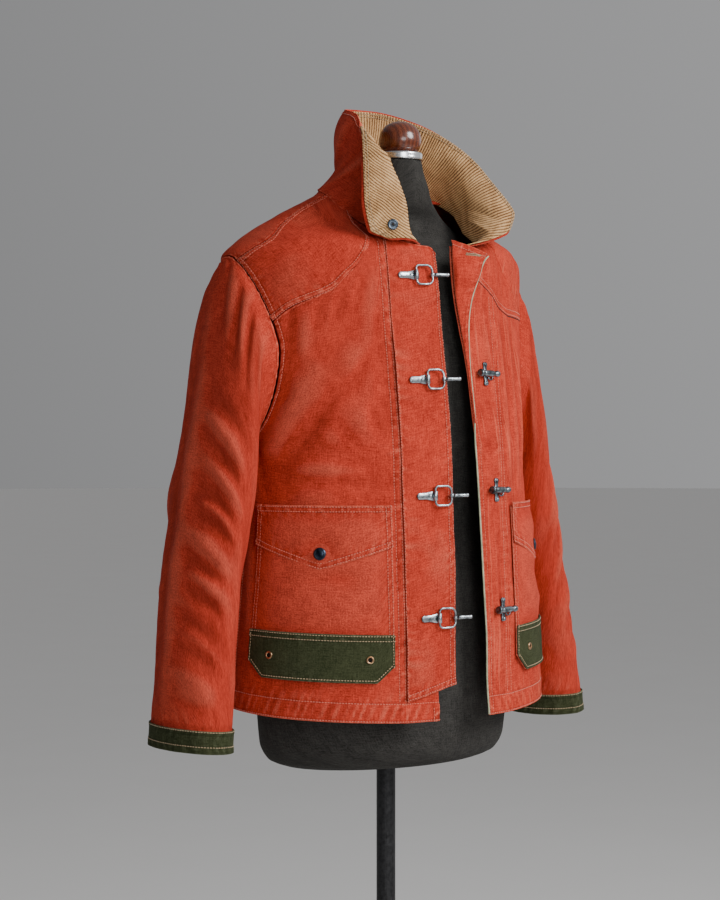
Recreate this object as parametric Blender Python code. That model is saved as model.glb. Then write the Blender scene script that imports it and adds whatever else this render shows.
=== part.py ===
"""A canvas work jacket with a corduroy collar and ring clasps, worn open on a limbless dress
form with a round foot. Metres, +Z up. The jacket faces -Y and the wearer's left is +X. The
origin is the middle of the foot's underside."""

import math

import bpy
import numpy as np

for old in list(bpy.data.objects):
    bpy.data.objects.remove(old, do_unlink=True)

# Cloth
WALL = 0.0018  # canvas, one layer
FLAP_WALL = 0.0024  # storm flap, two layers
GAP = 0.0003  # between two pieces at a seam
INSET = 0.0002  # how far each panel stops short of its seam line
LIFT = 0.0005  # between a panel and what is sewn onto it

# Jacket
HEM_Z = 0.867  # hem at the front edges
HEM_RISE = 0.012  # the hem is this much higher at the sides
SIDE_T = math.radians(97)  # where the side seam runs, from the centre front
EDGE_G = 0.038  # the right front's own edge, from the centre front along the cloth
STORM_G = (0.0135, 0.084)  # the storm flap's free edge and its seam
STORM_FOOT_Z = (0.911, 0.892)  # the storm flap's lower end, at its edge and at its seam
STORM_CORNER = 0.010  # its upper corner is cut by this much
POCKET_G = (0.099, 0.279)  # pocket's inner and outer edges
POCKET_Z = (0.916, 1.130)  # pocket's foot and mouth
POCKET_CUT = 0.021  # cut corners at the pocket's foot
PATCH_TOP_Z = 0.9755
FLAP_SIDE_Z, FLAP_TIP_Z = 1.084, 1.053  # the pocket flap's side corners and its point
FLAP_TOP = 0.004  # the flap's seam is this far above the pocket's mouth
SNAP_R, SNAP_UP = 0.0078, 0.021  # the flap's snap, up from the flap's point
EYELET_R, EYELET_HOLE_R = 0.0050, 0.0026
EYELET_G, EYELET_UP = (0.1290, 0.2480), 0.0290  # inner and outer eyelet; up from the pocket's foot
PATCH_WALL, POCKET_FLAP_WALL, CUFF_WALL, CORD_WALL = 0.0016, 0.0020, 0.0018, 0.0020
TRIM_LIFT = 0.0004  # more air under snaps and eyelets, whose cloth is curved
NECK_CORNERS = (0.0785, 0.0905)  # how far across the storm seam and the yoke's seam meet the neckline

# Clasps and hooks, from the lowest up
CLASP_Z = (0.994, 1.145, 1.289, 1.420)
CLASP_G = (0.0395, 0.0410, 0.0430, 0.0465)  # the ring's inner bar, from the centre front
RING_W, RING_H, WIRE_R = 0.0226, 0.0240, 0.0014  # between the bars' middles; wire
RING_CORNERS = (0.0045, 0.0072)  # its corners' radii, at the plate and at the tab
STRIP_T, KNUCKLE_CLEAR = 0.0010, 0.0003
PLATE_L = 0.0245
TAB_L, TAB_W = 0.0240, 0.0042
TAB_DROP = 0.0022  # the tab's strip lies this much nearer the cloth than its ring's bar
HOOK_BACK = (0.034, 0.034, 0.034, 0.0235)  # the hooks' middle, back from the left front's edge
HOOK_UP = (0.0045, 0.0055, 0.0095, 0.003)  # over the clasps
BARREL_FORE, BARREL_OUT = 0.018, 0.0050  # its collar's end from the bar, and its axis from the cloth

# Dress form
FOOT_R, FOOT_H = 0.190, 0.022
POLE_R, FORM_FOOT_Z = 0.0125, 0.800
NECK_TOP_Z = 1.5760
RING_TALL = 0.0104
NECK_Y = -0.030  # the neck stands this far in front of the pole

BODY = np.array((
    # height, half width, middle y, depth to the front, depth to the back, squareness
    (0.840, 0.2290, 0.005, 0.165, 0.142, 2.16),
    (0.950, 0.2235, 0.005, 0.163, 0.137, 2.14),
    (1.050, 0.2130, 0.007, 0.163, 0.130, 2.10),
    (1.150, 0.2050, 0.013, 0.165, 0.122, 2.06),
    (1.210, 0.2055, 0.018, 0.167, 0.119, 2.04),
    (1.290, 0.2105, 0.024, 0.164, 0.120, 2.02),
    (1.360, 0.2175, 0.030, 0.160, 0.112, 2.00),
    (1.410, 0.2235, 0.033, 0.156, 0.098, 2.00),
    (1.444, 0.2270, 0.035, 0.153, 0.083, 2.00),
    (1.462, 0.2110, 0.031, 0.147, 0.078, 2.00),
    (1.487, 0.1770, 0.024, 0.098, 0.072, 2.00),
    (1.512, 0.1330, 0.018, 0.068, 0.063, 2.00),
    (1.532, 0.0960, 0.014, 0.053, 0.053, 2.00),
    (1.560, 0.0760, 0.012, 0.046, 0.046, 2.00),
))
NECKLINE = np.array((
    # angle from the centre front in degrees, height
    (0, 1.4600), (9, 1.4610), (19, 1.4670), (28, 1.4880), (43, 1.5090),
    (75, 1.5300), (115, 1.5410), (150, 1.5490), (180, 1.5520),
))
LEFT_EDGE = np.array((
    # height, distance of the left front's edge from the centre front
    (0.840, 0.0445), (0.957, 0.0400), (1.240, 0.0275), (1.320, 0.0210), (1.417, 0.0110), (1.470, 0.0120),
))
FACING = np.array((
    # height, how far the turned-out facing reaches back from the left front's edge
    (1.235, 0.0030), (1.290, 0.0045), (1.353, 0.0110), (1.390, 0.0230), (1.418, 0.0440), (1.460, 0.0580),
))
YOKE = np.array((
    # half width, height of the yoke's curved seam, from the neckline to the armhole
    (0.1000, 1.4730), (0.1070, 1.4480), (0.1190, 1.4300), (0.1300, 1.4193), (0.1470, 1.4014),
    (0.1700, 1.3890), (0.1860, 1.3800), (0.1945, 1.3680),
))
FACING_SHARES = np.array([0, 0.06, 0.2, 0.4, 0.6, 0.8, 1.0])  # its columns
FACING_TOP_Z, FACING_FALL = 1.464, 0.014  # its top; its upper corner lies this much lower
FACING_OVER = 0.0040  # it is raised this much over the uppermost hook
ARMHOLE_Z, ARMHOLE_H, ARMHOLE_Y, ARMHOLE_D = 1.328, 0.118, 0.032, 0.071
SHOULDER_T = 75  # the shoulder seam leaves the neckline here, degrees from the centre front
FRONT_PHI = np.linspace(180, 20, 10)  # armhole points from the underarm up the front
BACK_PHI = np.linspace(180, 380, 12)  # and up the back to the shoulder seam
YOKE_STEPS = 3  # armhole steps along the yoke
SLEEVE = np.array((
    # outer x, outer z, inner x, inner z, middle y, half depth
    (0.2335, 1.4300, 0.2085, 1.2010, 0.0330, 0.0710),
    (0.2400, 1.4020, 0.2105, 1.1880, 0.0340, 0.0730),
    (0.2445, 1.3680, 0.2120, 1.1720, 0.0340, 0.0745),
    (0.2495, 1.3300, 0.2125, 1.1540, 0.0330, 0.0755),
    (0.2555, 1.2900, 0.2130, 1.1340, 0.0320, 0.0765),
    (0.2620, 1.2500, 0.2150, 1.1120, 0.0310, 0.0775),
    (0.2690, 1.2120, 0.2175, 1.0900, 0.0300, 0.0785),
    (0.2755, 1.1760, 0.2205, 1.0680, 0.0300, 0.0785),
    (0.2820, 1.1400, 0.2240, 1.0460, 0.0290, 0.0775),
    (0.2885, 1.1040, 0.2270, 1.0230, 0.0270, 0.0755),
    (0.2955, 1.0640, 0.2300, 0.9980, 0.0240, 0.0735),
    (0.3035, 1.0200, 0.2335, 0.9680, 0.0210, 0.0715),
    (0.3110, 0.9700, 0.2370, 0.9340, 0.0180, 0.0700),
    (0.3185, 0.9160, 0.2405, 0.8980, 0.0140, 0.0685),
    (0.3245, 0.8680, 0.2430, 0.8620, 0.0110, 0.0675),
    (0.3270, 0.8420, 0.2440, 0.8360, 0.0105, 0.0670),
))
SWING = {-1: 0.009, 1: 0.0}  # how much farther out the cuffs hang than in the table, by side
SWING_Z, SWING_REACH = 1.30, 0.25  # it sets in below this height, and is whole this much lower
CUFF_OVER = 0.06  # the band reaches past the sleeve's end by this share of its height
COLLAR = np.array((
    # station, roll line x, y, z, free edge x, y, z, from the right front round to the left
    (0.00, -0.064, -0.126, 1.464, -0.098, -0.106, 1.461),
    (0.06, -0.054, -0.124, 1.505, -0.108, -0.102, 1.476),
    (0.14, -0.058, -0.114, 1.538, -0.116, -0.101, 1.512),
    (0.23, -0.066, -0.092, 1.572, -0.108, -0.090, 1.556),
    (0.32, -0.074, -0.052, 1.594, -0.089, -0.066, 1.594),
    (0.41, -0.076, -0.004, 1.600, -0.062, -0.022, 1.630),
    (0.50, -0.048, 0.046, 1.602, -0.042, 0.030, 1.646),
    (0.60, 0.030, 0.060, 1.605, 0.022, 0.053, 1.653),
    (0.70, 0.088, 0.028, 1.590, 0.078, 0.028, 1.638),
    (0.79, 0.102, -0.012, 1.568, 0.117, -0.006, 1.608),
    (0.87, 0.100, -0.056, 1.538, 0.132, -0.044, 1.570),
    (0.94, 0.086, -0.108, 1.497, 0.132, -0.100, 1.518),
    (1.00, 0.076, -0.133, 1.471, 0.118, -0.122, 1.490),
))
COLLAR_ENDS = (-0.034, 0.030)  # where the collar's ends stand on the neckline, across
COLLAR_ROOM, COLLAR_ROOM_ENDS = 0.0024, 0.0030  # between neckline and collar; more at its ends
FORM = np.array((
    # height, half width, middle y, depth to the front, depth to the back
    (0.8000, 0.150, 0.006, 0.098, 0.098),
    (0.8060, 0.166, 0.006, 0.112, 0.112),
    (0.8300, 0.178, 0.006, 0.124, 0.122),
    (0.9200, 0.184, 0.006, 0.130, 0.122),
    (1.0200, 0.176, 0.007, 0.128, 0.112),
    (1.1200, 0.160, 0.012, 0.124, 0.100),
    (1.2000, 0.164, 0.017, 0.134, 0.098),
    (1.2900, 0.178, 0.023, 0.138, 0.100),
    (1.3700, 0.190, 0.029, 0.136, 0.092),
    (1.4150, 0.196, 0.032, 0.128, 0.078),
    (1.4400, 0.195, 0.033, 0.118, 0.064),
    (1.4560, 0.184, 0.031, 0.102, 0.058),
    (1.4740, 0.157, 0.026, 0.078, 0.054),
    (1.4900, 0.126, 0.018, 0.062, 0.052),
    (1.5040, 0.095, 0.006, 0.050, 0.052),
    (1.5150, 0.070, -0.008, 0.046, 0.052),
    (1.5280, 0.050, -0.020, 0.041, 0.047),
    (1.5450, 0.038, -0.028, 0.036, 0.038),
    (1.5600, 0.031, -0.030, 0.031, 0.031),
    (1.5755, 0.028, -0.030, 0.028, 0.028),
))
KNOB = np.array((
    # height above the ring, radius
    (0.0000, 0.0215), (0.0030, 0.0242), (0.0080, 0.0268), (0.0150, 0.0280), (0.0230, 0.0268),
    (0.0310, 0.0225), (0.0370, 0.0155), (0.0400, 0.0075),
))

MATERIALS = {
    # slot: base colour, metallic, roughness
    "canvas_red": ((0.42, 0.062, 0.030), 0.0, 0.85),
    "corduroy_tan": ((0.42, 0.27, 0.15), 0.0, 0.90),
    "canvas_green": ((0.035, 0.050, 0.026), 0.0, 0.85),
    "steel_clasp": ((0.42, 0.44, 0.46), 1.0, 0.32),
    "snap_dark": ((0.035, 0.045, 0.060), 1.0, 0.38),
    "eyelet_brass": ((0.45, 0.27, 0.13), 1.0, 0.40),
    "form_cloth": ((0.045, 0.043, 0.040), 0.0, 0.90),
    "ring_metal": ((0.62, 0.63, 0.64), 1.0, 0.28),
    "knob_wood": ((0.17, 0.052, 0.018), 0.0, 0.30),
    "stand_metal": ((0.030, 0.030, 0.032), 1.0, 0.45),
}


# ---------------------------------------------------------------- curves and the body's shell

def through(xs, ys, x):
    """A smooth line through a table's points that doesn't overshoot them."""
    xs, ys, x = np.asarray(xs, float), np.asarray(ys, float), np.asarray(x, float)
    step = np.diff(xs)
    slope = np.diff(ys) / step
    tangent = np.concatenate([slope[:1], np.zeros(len(xs) - 2), slope[-1:]])
    before, after = slope[:-1], slope[1:]
    same = before * after > 0
    heavy, light = 2 * step[1:] + step[:-1], step[1:] + 2 * step[:-1]
    tangent[1:-1][same] = (heavy + light)[same] / (
        heavy[same] / before[same] + light[same] / after[same])
    k = np.clip(np.searchsorted(xs, x) - 1, 0, len(xs) - 2)
    u, h = np.clip((x - xs[k]) / step[k], 0, 1), step[k]
    return ((1 + 2 * u) * (1 - u) ** 2 * ys[k] + u * (1 - u) ** 2 * h * tangent[k]
            + u * u * (3 - 2 * u) * ys[k + 1] + u * u * (u - 1) * h * tangent[k + 1])


def oval(t, z):
    """A point of the body's outer face: t round from the centre front, z up."""
    a, mid, front, back, square = (through(BODY[:, 0], BODY[:, k], z) for k in range(1, 6))
    s, c = np.sin(t), np.cos(t)
    x = a * np.sign(s) * np.abs(s) ** (2 / square)
    y = mid - np.where(c > 0, front, back) * np.sign(c) * np.abs(c) ** (2 / square)
    return np.stack([x, y, z + 0 * x], -1)


LEVELS, TURNS, SHARES = np.linspace(0.84, 1.56, 289), np.linspace(0, math.pi, 361), np.linspace(0, 1, 361)
RINGS = oval(TURNS[None, :], LEVELS[:, None])
GIRTHS = np.concatenate([np.zeros((len(LEVELS), 1)), np.cumsum(
    np.linalg.norm(np.diff(RINGS, axis=1), axis=2), axis=1)], axis=1)
TURN_AT = np.array([np.interp(SHARES * g[-1], g, TURNS) for g in GIRTHS])


def between(table, row, column):
    """A table's value between its rows and columns."""
    i = np.clip(np.floor(row).astype(int), 0, table.shape[0] - 2)
    j = np.clip(np.floor(column).astype(int), 0, table.shape[1] - 2)
    u, v = row - i, column - j
    return ((1 - u) * ((1 - v) * table[i, j] + v * table[i, j + 1])
            + u * ((1 - v) * table[i + 1, j] + v * table[i + 1, j + 1]))


def level(z):
    return (np.asarray(z, float) - LEVELS[0]) / (LEVELS[1] - LEVELS[0])


def girth(t, z):
    """How far along the cloth from the centre front."""
    return between(GIRTHS, level(z), np.asarray(t, float) / math.pi * 360)


def half_girth(z):
    return np.interp(z, LEVELS, GIRTHS[:, -1])


def turn(g, z):
    return between(TURN_AT, level(z), np.clip(g / half_girth(z), 0, 1) * 360)


def shell(g, z, side):
    """Points and outward directions of the body's outer face, g along the cloth from the
    centre front (less than 0 past it) and z up, on the wearer's left (1) or right (-1)."""
    g, z = np.broadcast_arrays(np.asarray(g, float), np.asarray(z, float))
    t = np.sign(g) * turn(np.abs(g), z)
    point = oval(t, z)
    across = oval(t + 1e-3, z) - oval(t - 1e-3, z)
    up = oval(t, z + 2e-4) - oval(t, z - 2e-4)
    out = np.cross(across, up)
    out /= np.linalg.norm(out, axis=-1, keepdims=True)
    flip = np.array([side, 1.0, 1.0])
    return point * flip, out * flip


def armhole(phi):
    """A point of the armhole's seam line as (g, z): 0 at the top, 90 in front, 180 below."""
    phi = np.radians(phi)
    y = ARMHOLE_Y - ARMHOLE_D * (1 - 0.25 * np.maximum(np.cos(phi), 0)) * np.sin(phi)
    z = ARMHOLE_Z + ARMHOLE_H * np.cos(phi)
    a, mid, front, back, square = (through(BODY[:, 0], BODY[:, k], z) for k in range(1, 6))
    depth = np.where(y < mid, front, back)
    share = np.clip(np.abs(y - mid) / depth, 0, 1) ** (square / 2)
    t = np.where(y < mid, np.arccos(share), math.pi - np.arccos(share))
    return np.stack([girth(t, z), z], -1)


def neckline(t):
    """A point of the neckline as (g, z), t in degrees from the centre front."""
    z = through(NECKLINE[:, 0], NECKLINE[:, 1], t)
    return np.stack([girth(np.radians(t), z), z], -1)


def neck_angle(x):
    """Where the neckline is this far across, in degrees from the centre front."""
    t = np.linspace(0, 40, 401)
    at = neckline(t)
    return float(np.interp(x, np.abs(shell(at[:, 0], at[:, 1], 1)[0][:, 0]), t))


def mix(a, b, share):
    return a + (b - a) * share


# ---------------------------------------------------------------- solids

def make(name, points, faces, slot):
    """An object from points and faces, turned to face out."""
    points = np.asarray(points, float)
    volume = 0.0
    for face in faces:
        a = points[face[0]]
        for k in range(1, len(face) - 1):
            volume += np.dot(a, np.cross(points[face[k]], points[face[k + 1]]))
    if volume < 0:
        faces = [tuple(reversed(face)) for face in faces]
    mesh = bpy.data.meshes.new(name)
    mesh.from_pydata([tuple(p) for p in points], [], [tuple(int(v) for v in f) for f in faces])
    mesh.update()
    obj = bpy.data.objects.new(name, mesh)
    bpy.context.scene.collection.objects.link(obj)
    material = bpy.data.materials.get(slot)
    if material is None:
        colour, metallic, roughness = MATERIALS[slot]
        material = bpy.data.materials.new(slot)
        material.use_nodes = True
        shader = material.node_tree.nodes["Principled BSDF"]
        shader.inputs["Base Color"].default_value = (*colour, 1)
        shader.inputs["Metallic"].default_value = metallic
        shader.inputs["Roughness"].default_value = roughness
        material.diffuse_color = (*colour, 1)
    mesh.materials.append(material)
    return obj


def welded(sheets, dropped=()):
    """Several grids of (points, directions) as one surface of triangles. `dropped` holds the
    (sheet, row, column) of corners that are cut off."""
    index, points, outs, faces = {}, [], [], []

    def number(k, i, j):
        p = sheets[k][0][i, j]
        key = tuple(np.round(p, 7))
        if key not in index:
            index[key] = len(points)
            points.append(p)
            outs.append(sheets[k][1][i, j])
        return index[key]

    for k, (grid, _) in enumerate(sheets):
        for i in range(grid.shape[0] - 1):
            for j in range(grid.shape[1] - 1):
                corners = [(i, j), (i, j + 1), (i + 1, j + 1), (i + 1, j)]
                kept = [number(k, *c) for c in corners if (k, *c) not in dropped]
                kept = list(dict.fromkeys(kept))
                if len(kept) == 4:
                    faces += [(kept[0], kept[1], kept[2]), (kept[0], kept[2], kept[3])]
                elif len(kept) == 3:
                    faces.append(tuple(kept))
    return np.array(points), np.array(outs), faces


def cloth(name, sheets, low, high, slot, dropped=()):
    """A wall between two depths below and above the sheets."""
    points, outs, faces = welded(sheets, dropped)
    count = len(points)
    edges = {}
    for face in faces:
        for a, b in zip(face, face[1:] + face[:1]):
            edges[a, b] = True
    rim = [(a, b) for a, b in edges if (b, a) not in edges]
    solid = list(faces) + [tuple(v + count for v in reversed(face)) for face in faces]
    for a, b in rim:
        solid += [(b, a, a + count), (b, a + count, b + count)]
    low, high = np.broadcast_to(low, count), np.broadcast_to(high, count)
    return make(name, np.concatenate([points + outs * high[:, None], points + outs * low[:, None]]), solid, slot)


def drawn_in(sheet, bottom=0.0, top=0.0, left=0.0, right=0.0):
    """The grid with its borders moved in."""
    grid, out = sheet[0].copy(), sheet[1]

    def step(edge, inner, by):
        away = inner - edge
        return edge + away / np.maximum(np.linalg.norm(away, axis=-1, keepdims=True), 1e-9) * by

    if left:
        grid[:, 0] = step(grid[:, 0], sheet[0][:, 1], left)
    if right:
        grid[:, -1] = step(grid[:, -1], sheet[0][:, -2], right)
    if bottom:
        grid[0] = step(grid[0], sheet[0][1] + grid[0] - sheet[0][0], bottom)
    if top:
        grid[-1] = step(grid[-1], sheet[0][-2] + grid[-1] - sheet[0][-1], top)
    return grid, out


def tube(name, rings, slot, closed=True):
    """A solid skin over rings of points: a loop of rings, or one with flat ends."""
    rings = np.asarray(rings, float)
    count, around = rings.shape[:2]
    faces = []
    for i in range(count if closed else count - 1):
        for j in range(around):
            a, b = i * around + j, i * around + (j + 1) % around
            c, d = (i + 1) % count * around + (j + 1) % around, (i + 1) % count * around + j
            faces += [(a, b, c), (a, c, d)]
    if not closed:
        faces += [tuple(reversed(range(around))), tuple(range((count - 1) * around, count * around))]
    return make(name, rings.reshape(-1, 3), faces, slot)


def lathe(name, profile, origin, axis, slot, sides=24):
    """A turned solid: profile rows are (radius, height along the axis), the ends flat."""
    axis = np.asarray(axis, float) / np.linalg.norm(axis)
    other = np.array([0, 0, 1.0]) if abs(axis[2]) < 0.9 else np.array([1.0, 0, 0])
    one = np.cross(other, axis)
    one /= np.linalg.norm(one)
    two = np.cross(axis, one)
    angle = np.arange(sides) * 2 * math.pi / sides
    around = np.cos(angle)[:, None] * one + np.sin(angle)[:, None] * two
    rings = [np.asarray(origin) + axis * h + r * around for r, h in profile]
    return tube(name, rings, slot, closed=False)


def washer(name, profile, origin, axis, slot, sides=16):
    """A turned ring: the profile's (radius, height) rows go once round its section."""
    axis = np.asarray(axis, float) / np.linalg.norm(axis)
    other = np.array([0, 0, 1.0]) if abs(axis[2]) < 0.9 else np.array([1.0, 0, 0])
    one = np.cross(other, axis)
    one /= np.linalg.norm(one)
    two = np.cross(axis, one)
    angle = np.arange(sides) * 2 * math.pi / sides
    around = np.cos(angle)[:, None] * one + np.sin(angle)[:, None] * two
    rings = [[np.asarray(origin) + axis * h + r * way for r, h in profile] for way in around]
    return tube(name, rings, slot)


# ---------------------------------------------------------------- panels

SEAM_G = STORM_G[1]
LOW_Z = np.array([HEM_Z, 0.889, POCKET_Z[0], POCKET_Z[0] + POCKET_CUT, PATCH_TOP_Z, 1.032, FLAP_SIDE_Z,
                  POCKET_Z[1], 1.175, ARMHOLE_Z - ARMHOLE_H + 0.004])
SIDE_G = float(girth(SIDE_T, 1.05))
POCKET_COLUMNS = np.array([POCKET_G[0], POCKET_G[0] + POCKET_CUT, 0.1545, 0.189, 0.2235,
                           POCKET_G[1] - POCKET_CUT, POCKET_G[1]])
SHARE = np.concatenate([[0], (POCKET_COLUMNS - SEAM_G) / (SIDE_G - SEAM_G), [1]])
YOKE_SHARE = (SHARE[1:] - SHARE[1]) / (1 - SHARE[1])


def side_line(z):
    """The side seam as (g, z), raised toward the hem's side."""
    up = z + HEM_RISE * np.clip((POCKET_Z[1] - z) / (POCKET_Z[1] - HEM_Z), 0, 1)
    return np.stack([girth(np.full_like(up, SIDE_T), up), up], -1)


def yoke_line():
    """The yoke's seam at the panel's columns, as (g, z), from the neckline to the armhole."""
    x, z = YOKE[:, 0], YOKE[:, 1]
    a, square = through(BODY[:, 0], BODY[:, 1], z), through(BODY[:, 0], BODY[:, 5], z)
    g = girth(np.arcsin(np.clip(x / a, 0, 1) ** (square / 2)), z)
    line = np.stack([g, z], -1)
    line[0] = neckline(neck_angle(NECK_CORNERS[1]))
    line[-1] = armhole(FRONT_PHI[-1 - YOKE_STEPS])
    run = np.concatenate([[0], np.cumsum(np.linalg.norm(np.diff(line, axis=0), axis=1))])
    at = YOKE_SHARE * run[-1]
    return np.stack([through(run, line[:, 0], at), through(run, line[:, 1], at)], -1)


def front_rows():
    """The front panel's (g, z) grid from the storm seam's line to the side seam and armhole."""
    top = neckline(neck_angle(NECK_CORNERS[0]))
    high = np.linspace(LOW_Z[-1], top[1], len(FRONT_PHI) - YOKE_STEPS)[1:]
    left = np.stack([np.full(len(LOW_Z) + len(high), SEAM_G), np.concatenate([LOW_Z, high])], -1)
    left[-1] = top
    right = np.concatenate([side_line(LOW_Z[:-1]), armhole(FRONT_PHI[: len(high) + 1])])
    grid = mix(left[:, None], right[:, None], SHARE[None, :, None])
    end = np.concatenate([top[None], yoke_line()])
    pull = np.clip((np.arange(len(left)) - len(LOW_Z) + 1) / len(high), 0, 1) ** 1.6
    grid += pull[:, None, None] * (end - grid[-1])[None]
    return grid


FRONT = front_rows()
ROW_Z = FRONT[:, 0, 1]


def front_part(side, g_of_row):
    """Two grids of a front: from its own edge to the storm seam's line, and on to the side."""
    start = np.array([g_of_row(z) for z in ROW_Z])
    shares = np.array([0, 0.5, 1.0]) if side < 0 else np.array([0, 0.34, 0.67, 1.0])
    near = mix(start[:, None], np.full((len(ROW_Z), 1), SEAM_G), shares[None])
    near[-1, -1] = FRONT[-1, 0, 0]
    height = np.repeat(ROW_Z[:, None], len(shares), axis=1)
    for j in range(len(shares) - 1):
        at = shell(near[-1, j], ROW_Z[-1], 1)[0][0]
        height[-1, j] = neckline(neck_angle(abs(at)))[1]
    one = shell(near, height, side)
    two = shell(FRONT[..., 0], FRONT[..., 1], side)
    one = drawn_in(one, top=INSET)
    two = drawn_in(two, top=INSET, right=INSET)
    return one, two


def left_edge(z):
    return float(through(LEFT_EDGE[:, 0], LEFT_EDGE[:, 1], z))


fronts = {}
for side, name, edge in ((-1, "right", lambda z: EDGE_G), (1, "left", left_edge)):
    fronts[side] = front_part(side, edge)
    cloth(f"front_{name}", fronts[side], -WALL, 0, "canvas_red")


# Yokes: from the curved seam up to the shoulder seam.
def shoulder_line(share):
    start, stop = neckline(SHOULDER_T), armhole(FRONT_PHI[-1])
    return mix(start[None], stop[None], np.asarray(share)[:, None])


def yoke_grid():
    low, high = FRONT[-1, 1:], shoulder_line(YOKE_SHARE)
    first = neck_angle(NECK_CORNERS[1])
    left = neckline(np.linspace(first, SHOULDER_T, YOKE_STEPS + 1))
    right = armhole(FRONT_PHI[-1 - YOKE_STEPS:])
    v = np.linspace(0, 1, YOKE_STEPS + 1)[:, None, None]
    u = YOKE_SHARE[None, :, None]
    flat = mix(low[None], high[None], v)
    along = mix(left[:, None], right[:, None], u)
    corners = mix(mix(low[0], low[-1], u), mix(high[0], high[-1], u), v)
    return flat + along - corners


YOKE_GRID = yoke_grid()
for side, name in ((-1, "right"), (1, "left")):
    piece = shell(YOKE_GRID[..., 0], YOKE_GRID[..., 1], side)
    piece = drawn_in(piece, bottom=2 * INSET, top=INSET, right=INSET, left=INSET)
    cloth(f"yoke_{name}", [piece], -WALL, 0, "canvas_red")


# Back: both halves, from the centre back to the side seams, armholes and shoulder seams.
def back_rows():
    rising = len(BACK_PHI) - 1 - YOKE_STEPS
    neck = neckline(180.0)
    z = np.concatenate([LOW_Z, np.linspace(LOW_Z[-1], neck[1], rising + 1)[1:]])
    left = np.stack([half_girth(z), z], -1)
    left = np.concatenate([left, neckline(np.linspace(180, SHOULDER_T, YOKE_STEPS + 1)[1:])])
    right = np.concatenate([side_line(LOW_Z[:-1]), armhole(BACK_PHI)])
    return mix(left[:, None], right[:, None], YOKE_SHARE[None, :, None]), len(z)


BACK, centre_rows = back_rows()
halves = []
for side in (-1, 1):
    grid, out = shell(BACK[..., 0], BACK[..., 1], side)
    grid[:centre_rows, 0, 0] = 0
    out[:centre_rows, 0, 0] = 0
    grid, out = drawn_in((grid, out), top=2 * INSET, right=INSET)
    grid[centre_rows:, 0] += (grid[centre_rows:, 1] - grid[centre_rows:, 0]) * 0.01
    halves.append((grid, out) if side > 0 else (grid[:, ::-1], out[:, ::-1]))
cloth("back_panel", halves, -WALL, 0, "canvas_red")


# ---------------------------------------------------------------- sleeves and cuffs

def sleeve_rings(side):
    phi = np.concatenate([FRONT_PHI, BACK_PHI[-2:0:-1] - 360])
    start = armhole(phi % 360)
    first, _ = shell(start[:, 0], start[:, 1], 1)
    first[:, 0] += 2 * GAP
    angle = np.radians(phi)
    rings = [first]
    for ox, oz, ix, iz, y, depth in SLEEVE:
        out, inner = np.array([ox, y, oz]), np.array([ix, y, iz])
        mid, arm = (out + inner) / 2, (out - inner) / 2
        share = min(1.0, max(0.0, (SWING_Z - mid[2]) / SWING_REACH))
        mid = mid + np.array([SWING[side] * share, 0, 0])
        ring = mid + np.cos(angle)[:, None] * arm - np.sin(angle)[:, None] * np.array([0, depth, 0])
        rings.append(ring)
    return np.array(rings) * np.array([side, 1, 1])


def ring_outs(rings):
    """Outward directions of a tube of rings."""
    along = np.gradient(rings, axis=0)
    around = np.roll(rings, -1, axis=1) - np.roll(rings, 1, axis=1)
    out = np.cross(around, along)
    out /= np.linalg.norm(out, axis=2, keepdims=True)
    mid = rings.mean(axis=1, keepdims=True)
    sign = np.sign(np.sum(out * (rings - mid), axis=2).mean())
    return out * sign


def looped(sheet):
    return np.concatenate([sheet, sheet[:, :1]], axis=1)


sleeves = {}
for side, name in ((-1, "right"), (1, "left")):
    rings = sleeve_rings(side)
    outs = ring_outs(rings)
    flat = rings[0] - rings[0].mean(axis=0)
    flat[:, 0] = 0
    outs[0] = flat / np.linalg.norm(flat, axis=1, keepdims=True)
    sleeves[side] = rings, outs
    cloth(f"sleeve_{name}", [(looped(rings), looped(outs))], -WALL, 0, "canvas_red")
    band = rings[-2:].copy()
    tip = band[1] - band[0]
    band[1] += tip * CUFF_OVER
    cloth(f"cuff_{name}", [(looped(band), looped(outs[-2:]))], LIFT, LIFT + CUFF_WALL, "canvas_green")


# ---------------------------------------------------------------- collar

def collar_grid(columns=27, rows=6):
    station = np.linspace(0, 1, columns)
    ends = [neck_angle(abs(x)) for x in COLLAR_ENDS]
    run = np.linspace(-ends[0], -(360 - ends[1]), columns)
    turn_to = np.where(run < -180, 360 + run, run)
    at = neckline(np.abs(turn_to))
    base = np.array([shell(g, z, 1 if a > 0 else -1)[0] for (g, z), a in zip(at, turn_to)])
    roll = np.stack([through(COLLAR[:, 0], COLLAR[:, k], station) for k in (1, 2, 3)], -1)
    free = np.stack([through(COLLAR[:, 0], COLLAR[:, k], station) for k in (4, 5, 6)], -1)
    rise = roll - base
    base = base + rise / np.linalg.norm(rise, axis=1, keepdims=True) * (
        COLLAR_ROOM + COLLAR_ROOM_ENDS * np.abs(2 * station[:, None] - 1) ** 6)
    v = np.linspace(0, 1, rows)[:, None, None]
    control = 2 * roll - (base + free) / 2
    control = mix(roll, control, 0.75)
    return (1 - v) ** 2 * base + 2 * v * (1 - v) * control + v * v * free


grid = collar_grid()
along, up = np.gradient(grid, axis=1), np.gradient(grid, axis=0)
inner = np.cross(up, along)
inner /= np.linalg.norm(inner, axis=2, keepdims=True)
middle = grid.shape[1] // 2
if np.dot(inner[2, middle], np.array([0, NECK_Y, 1.6]) - grid[2, middle]) < 0:
    inner = -inner
cut = [(0, grid.shape[0] - 1, 0), (0, grid.shape[0] - 1, grid.shape[1] - 1)]
cloth("collar_outer", [(grid, inner)], -GAP / 2 - WALL, -GAP / 2, "canvas_red", dropped=cut)
cloth("collar_facing", [(grid, inner)], GAP / 2, GAP / 2 + CORD_WALL, "corduroy_tan", dropped=cut)


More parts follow.
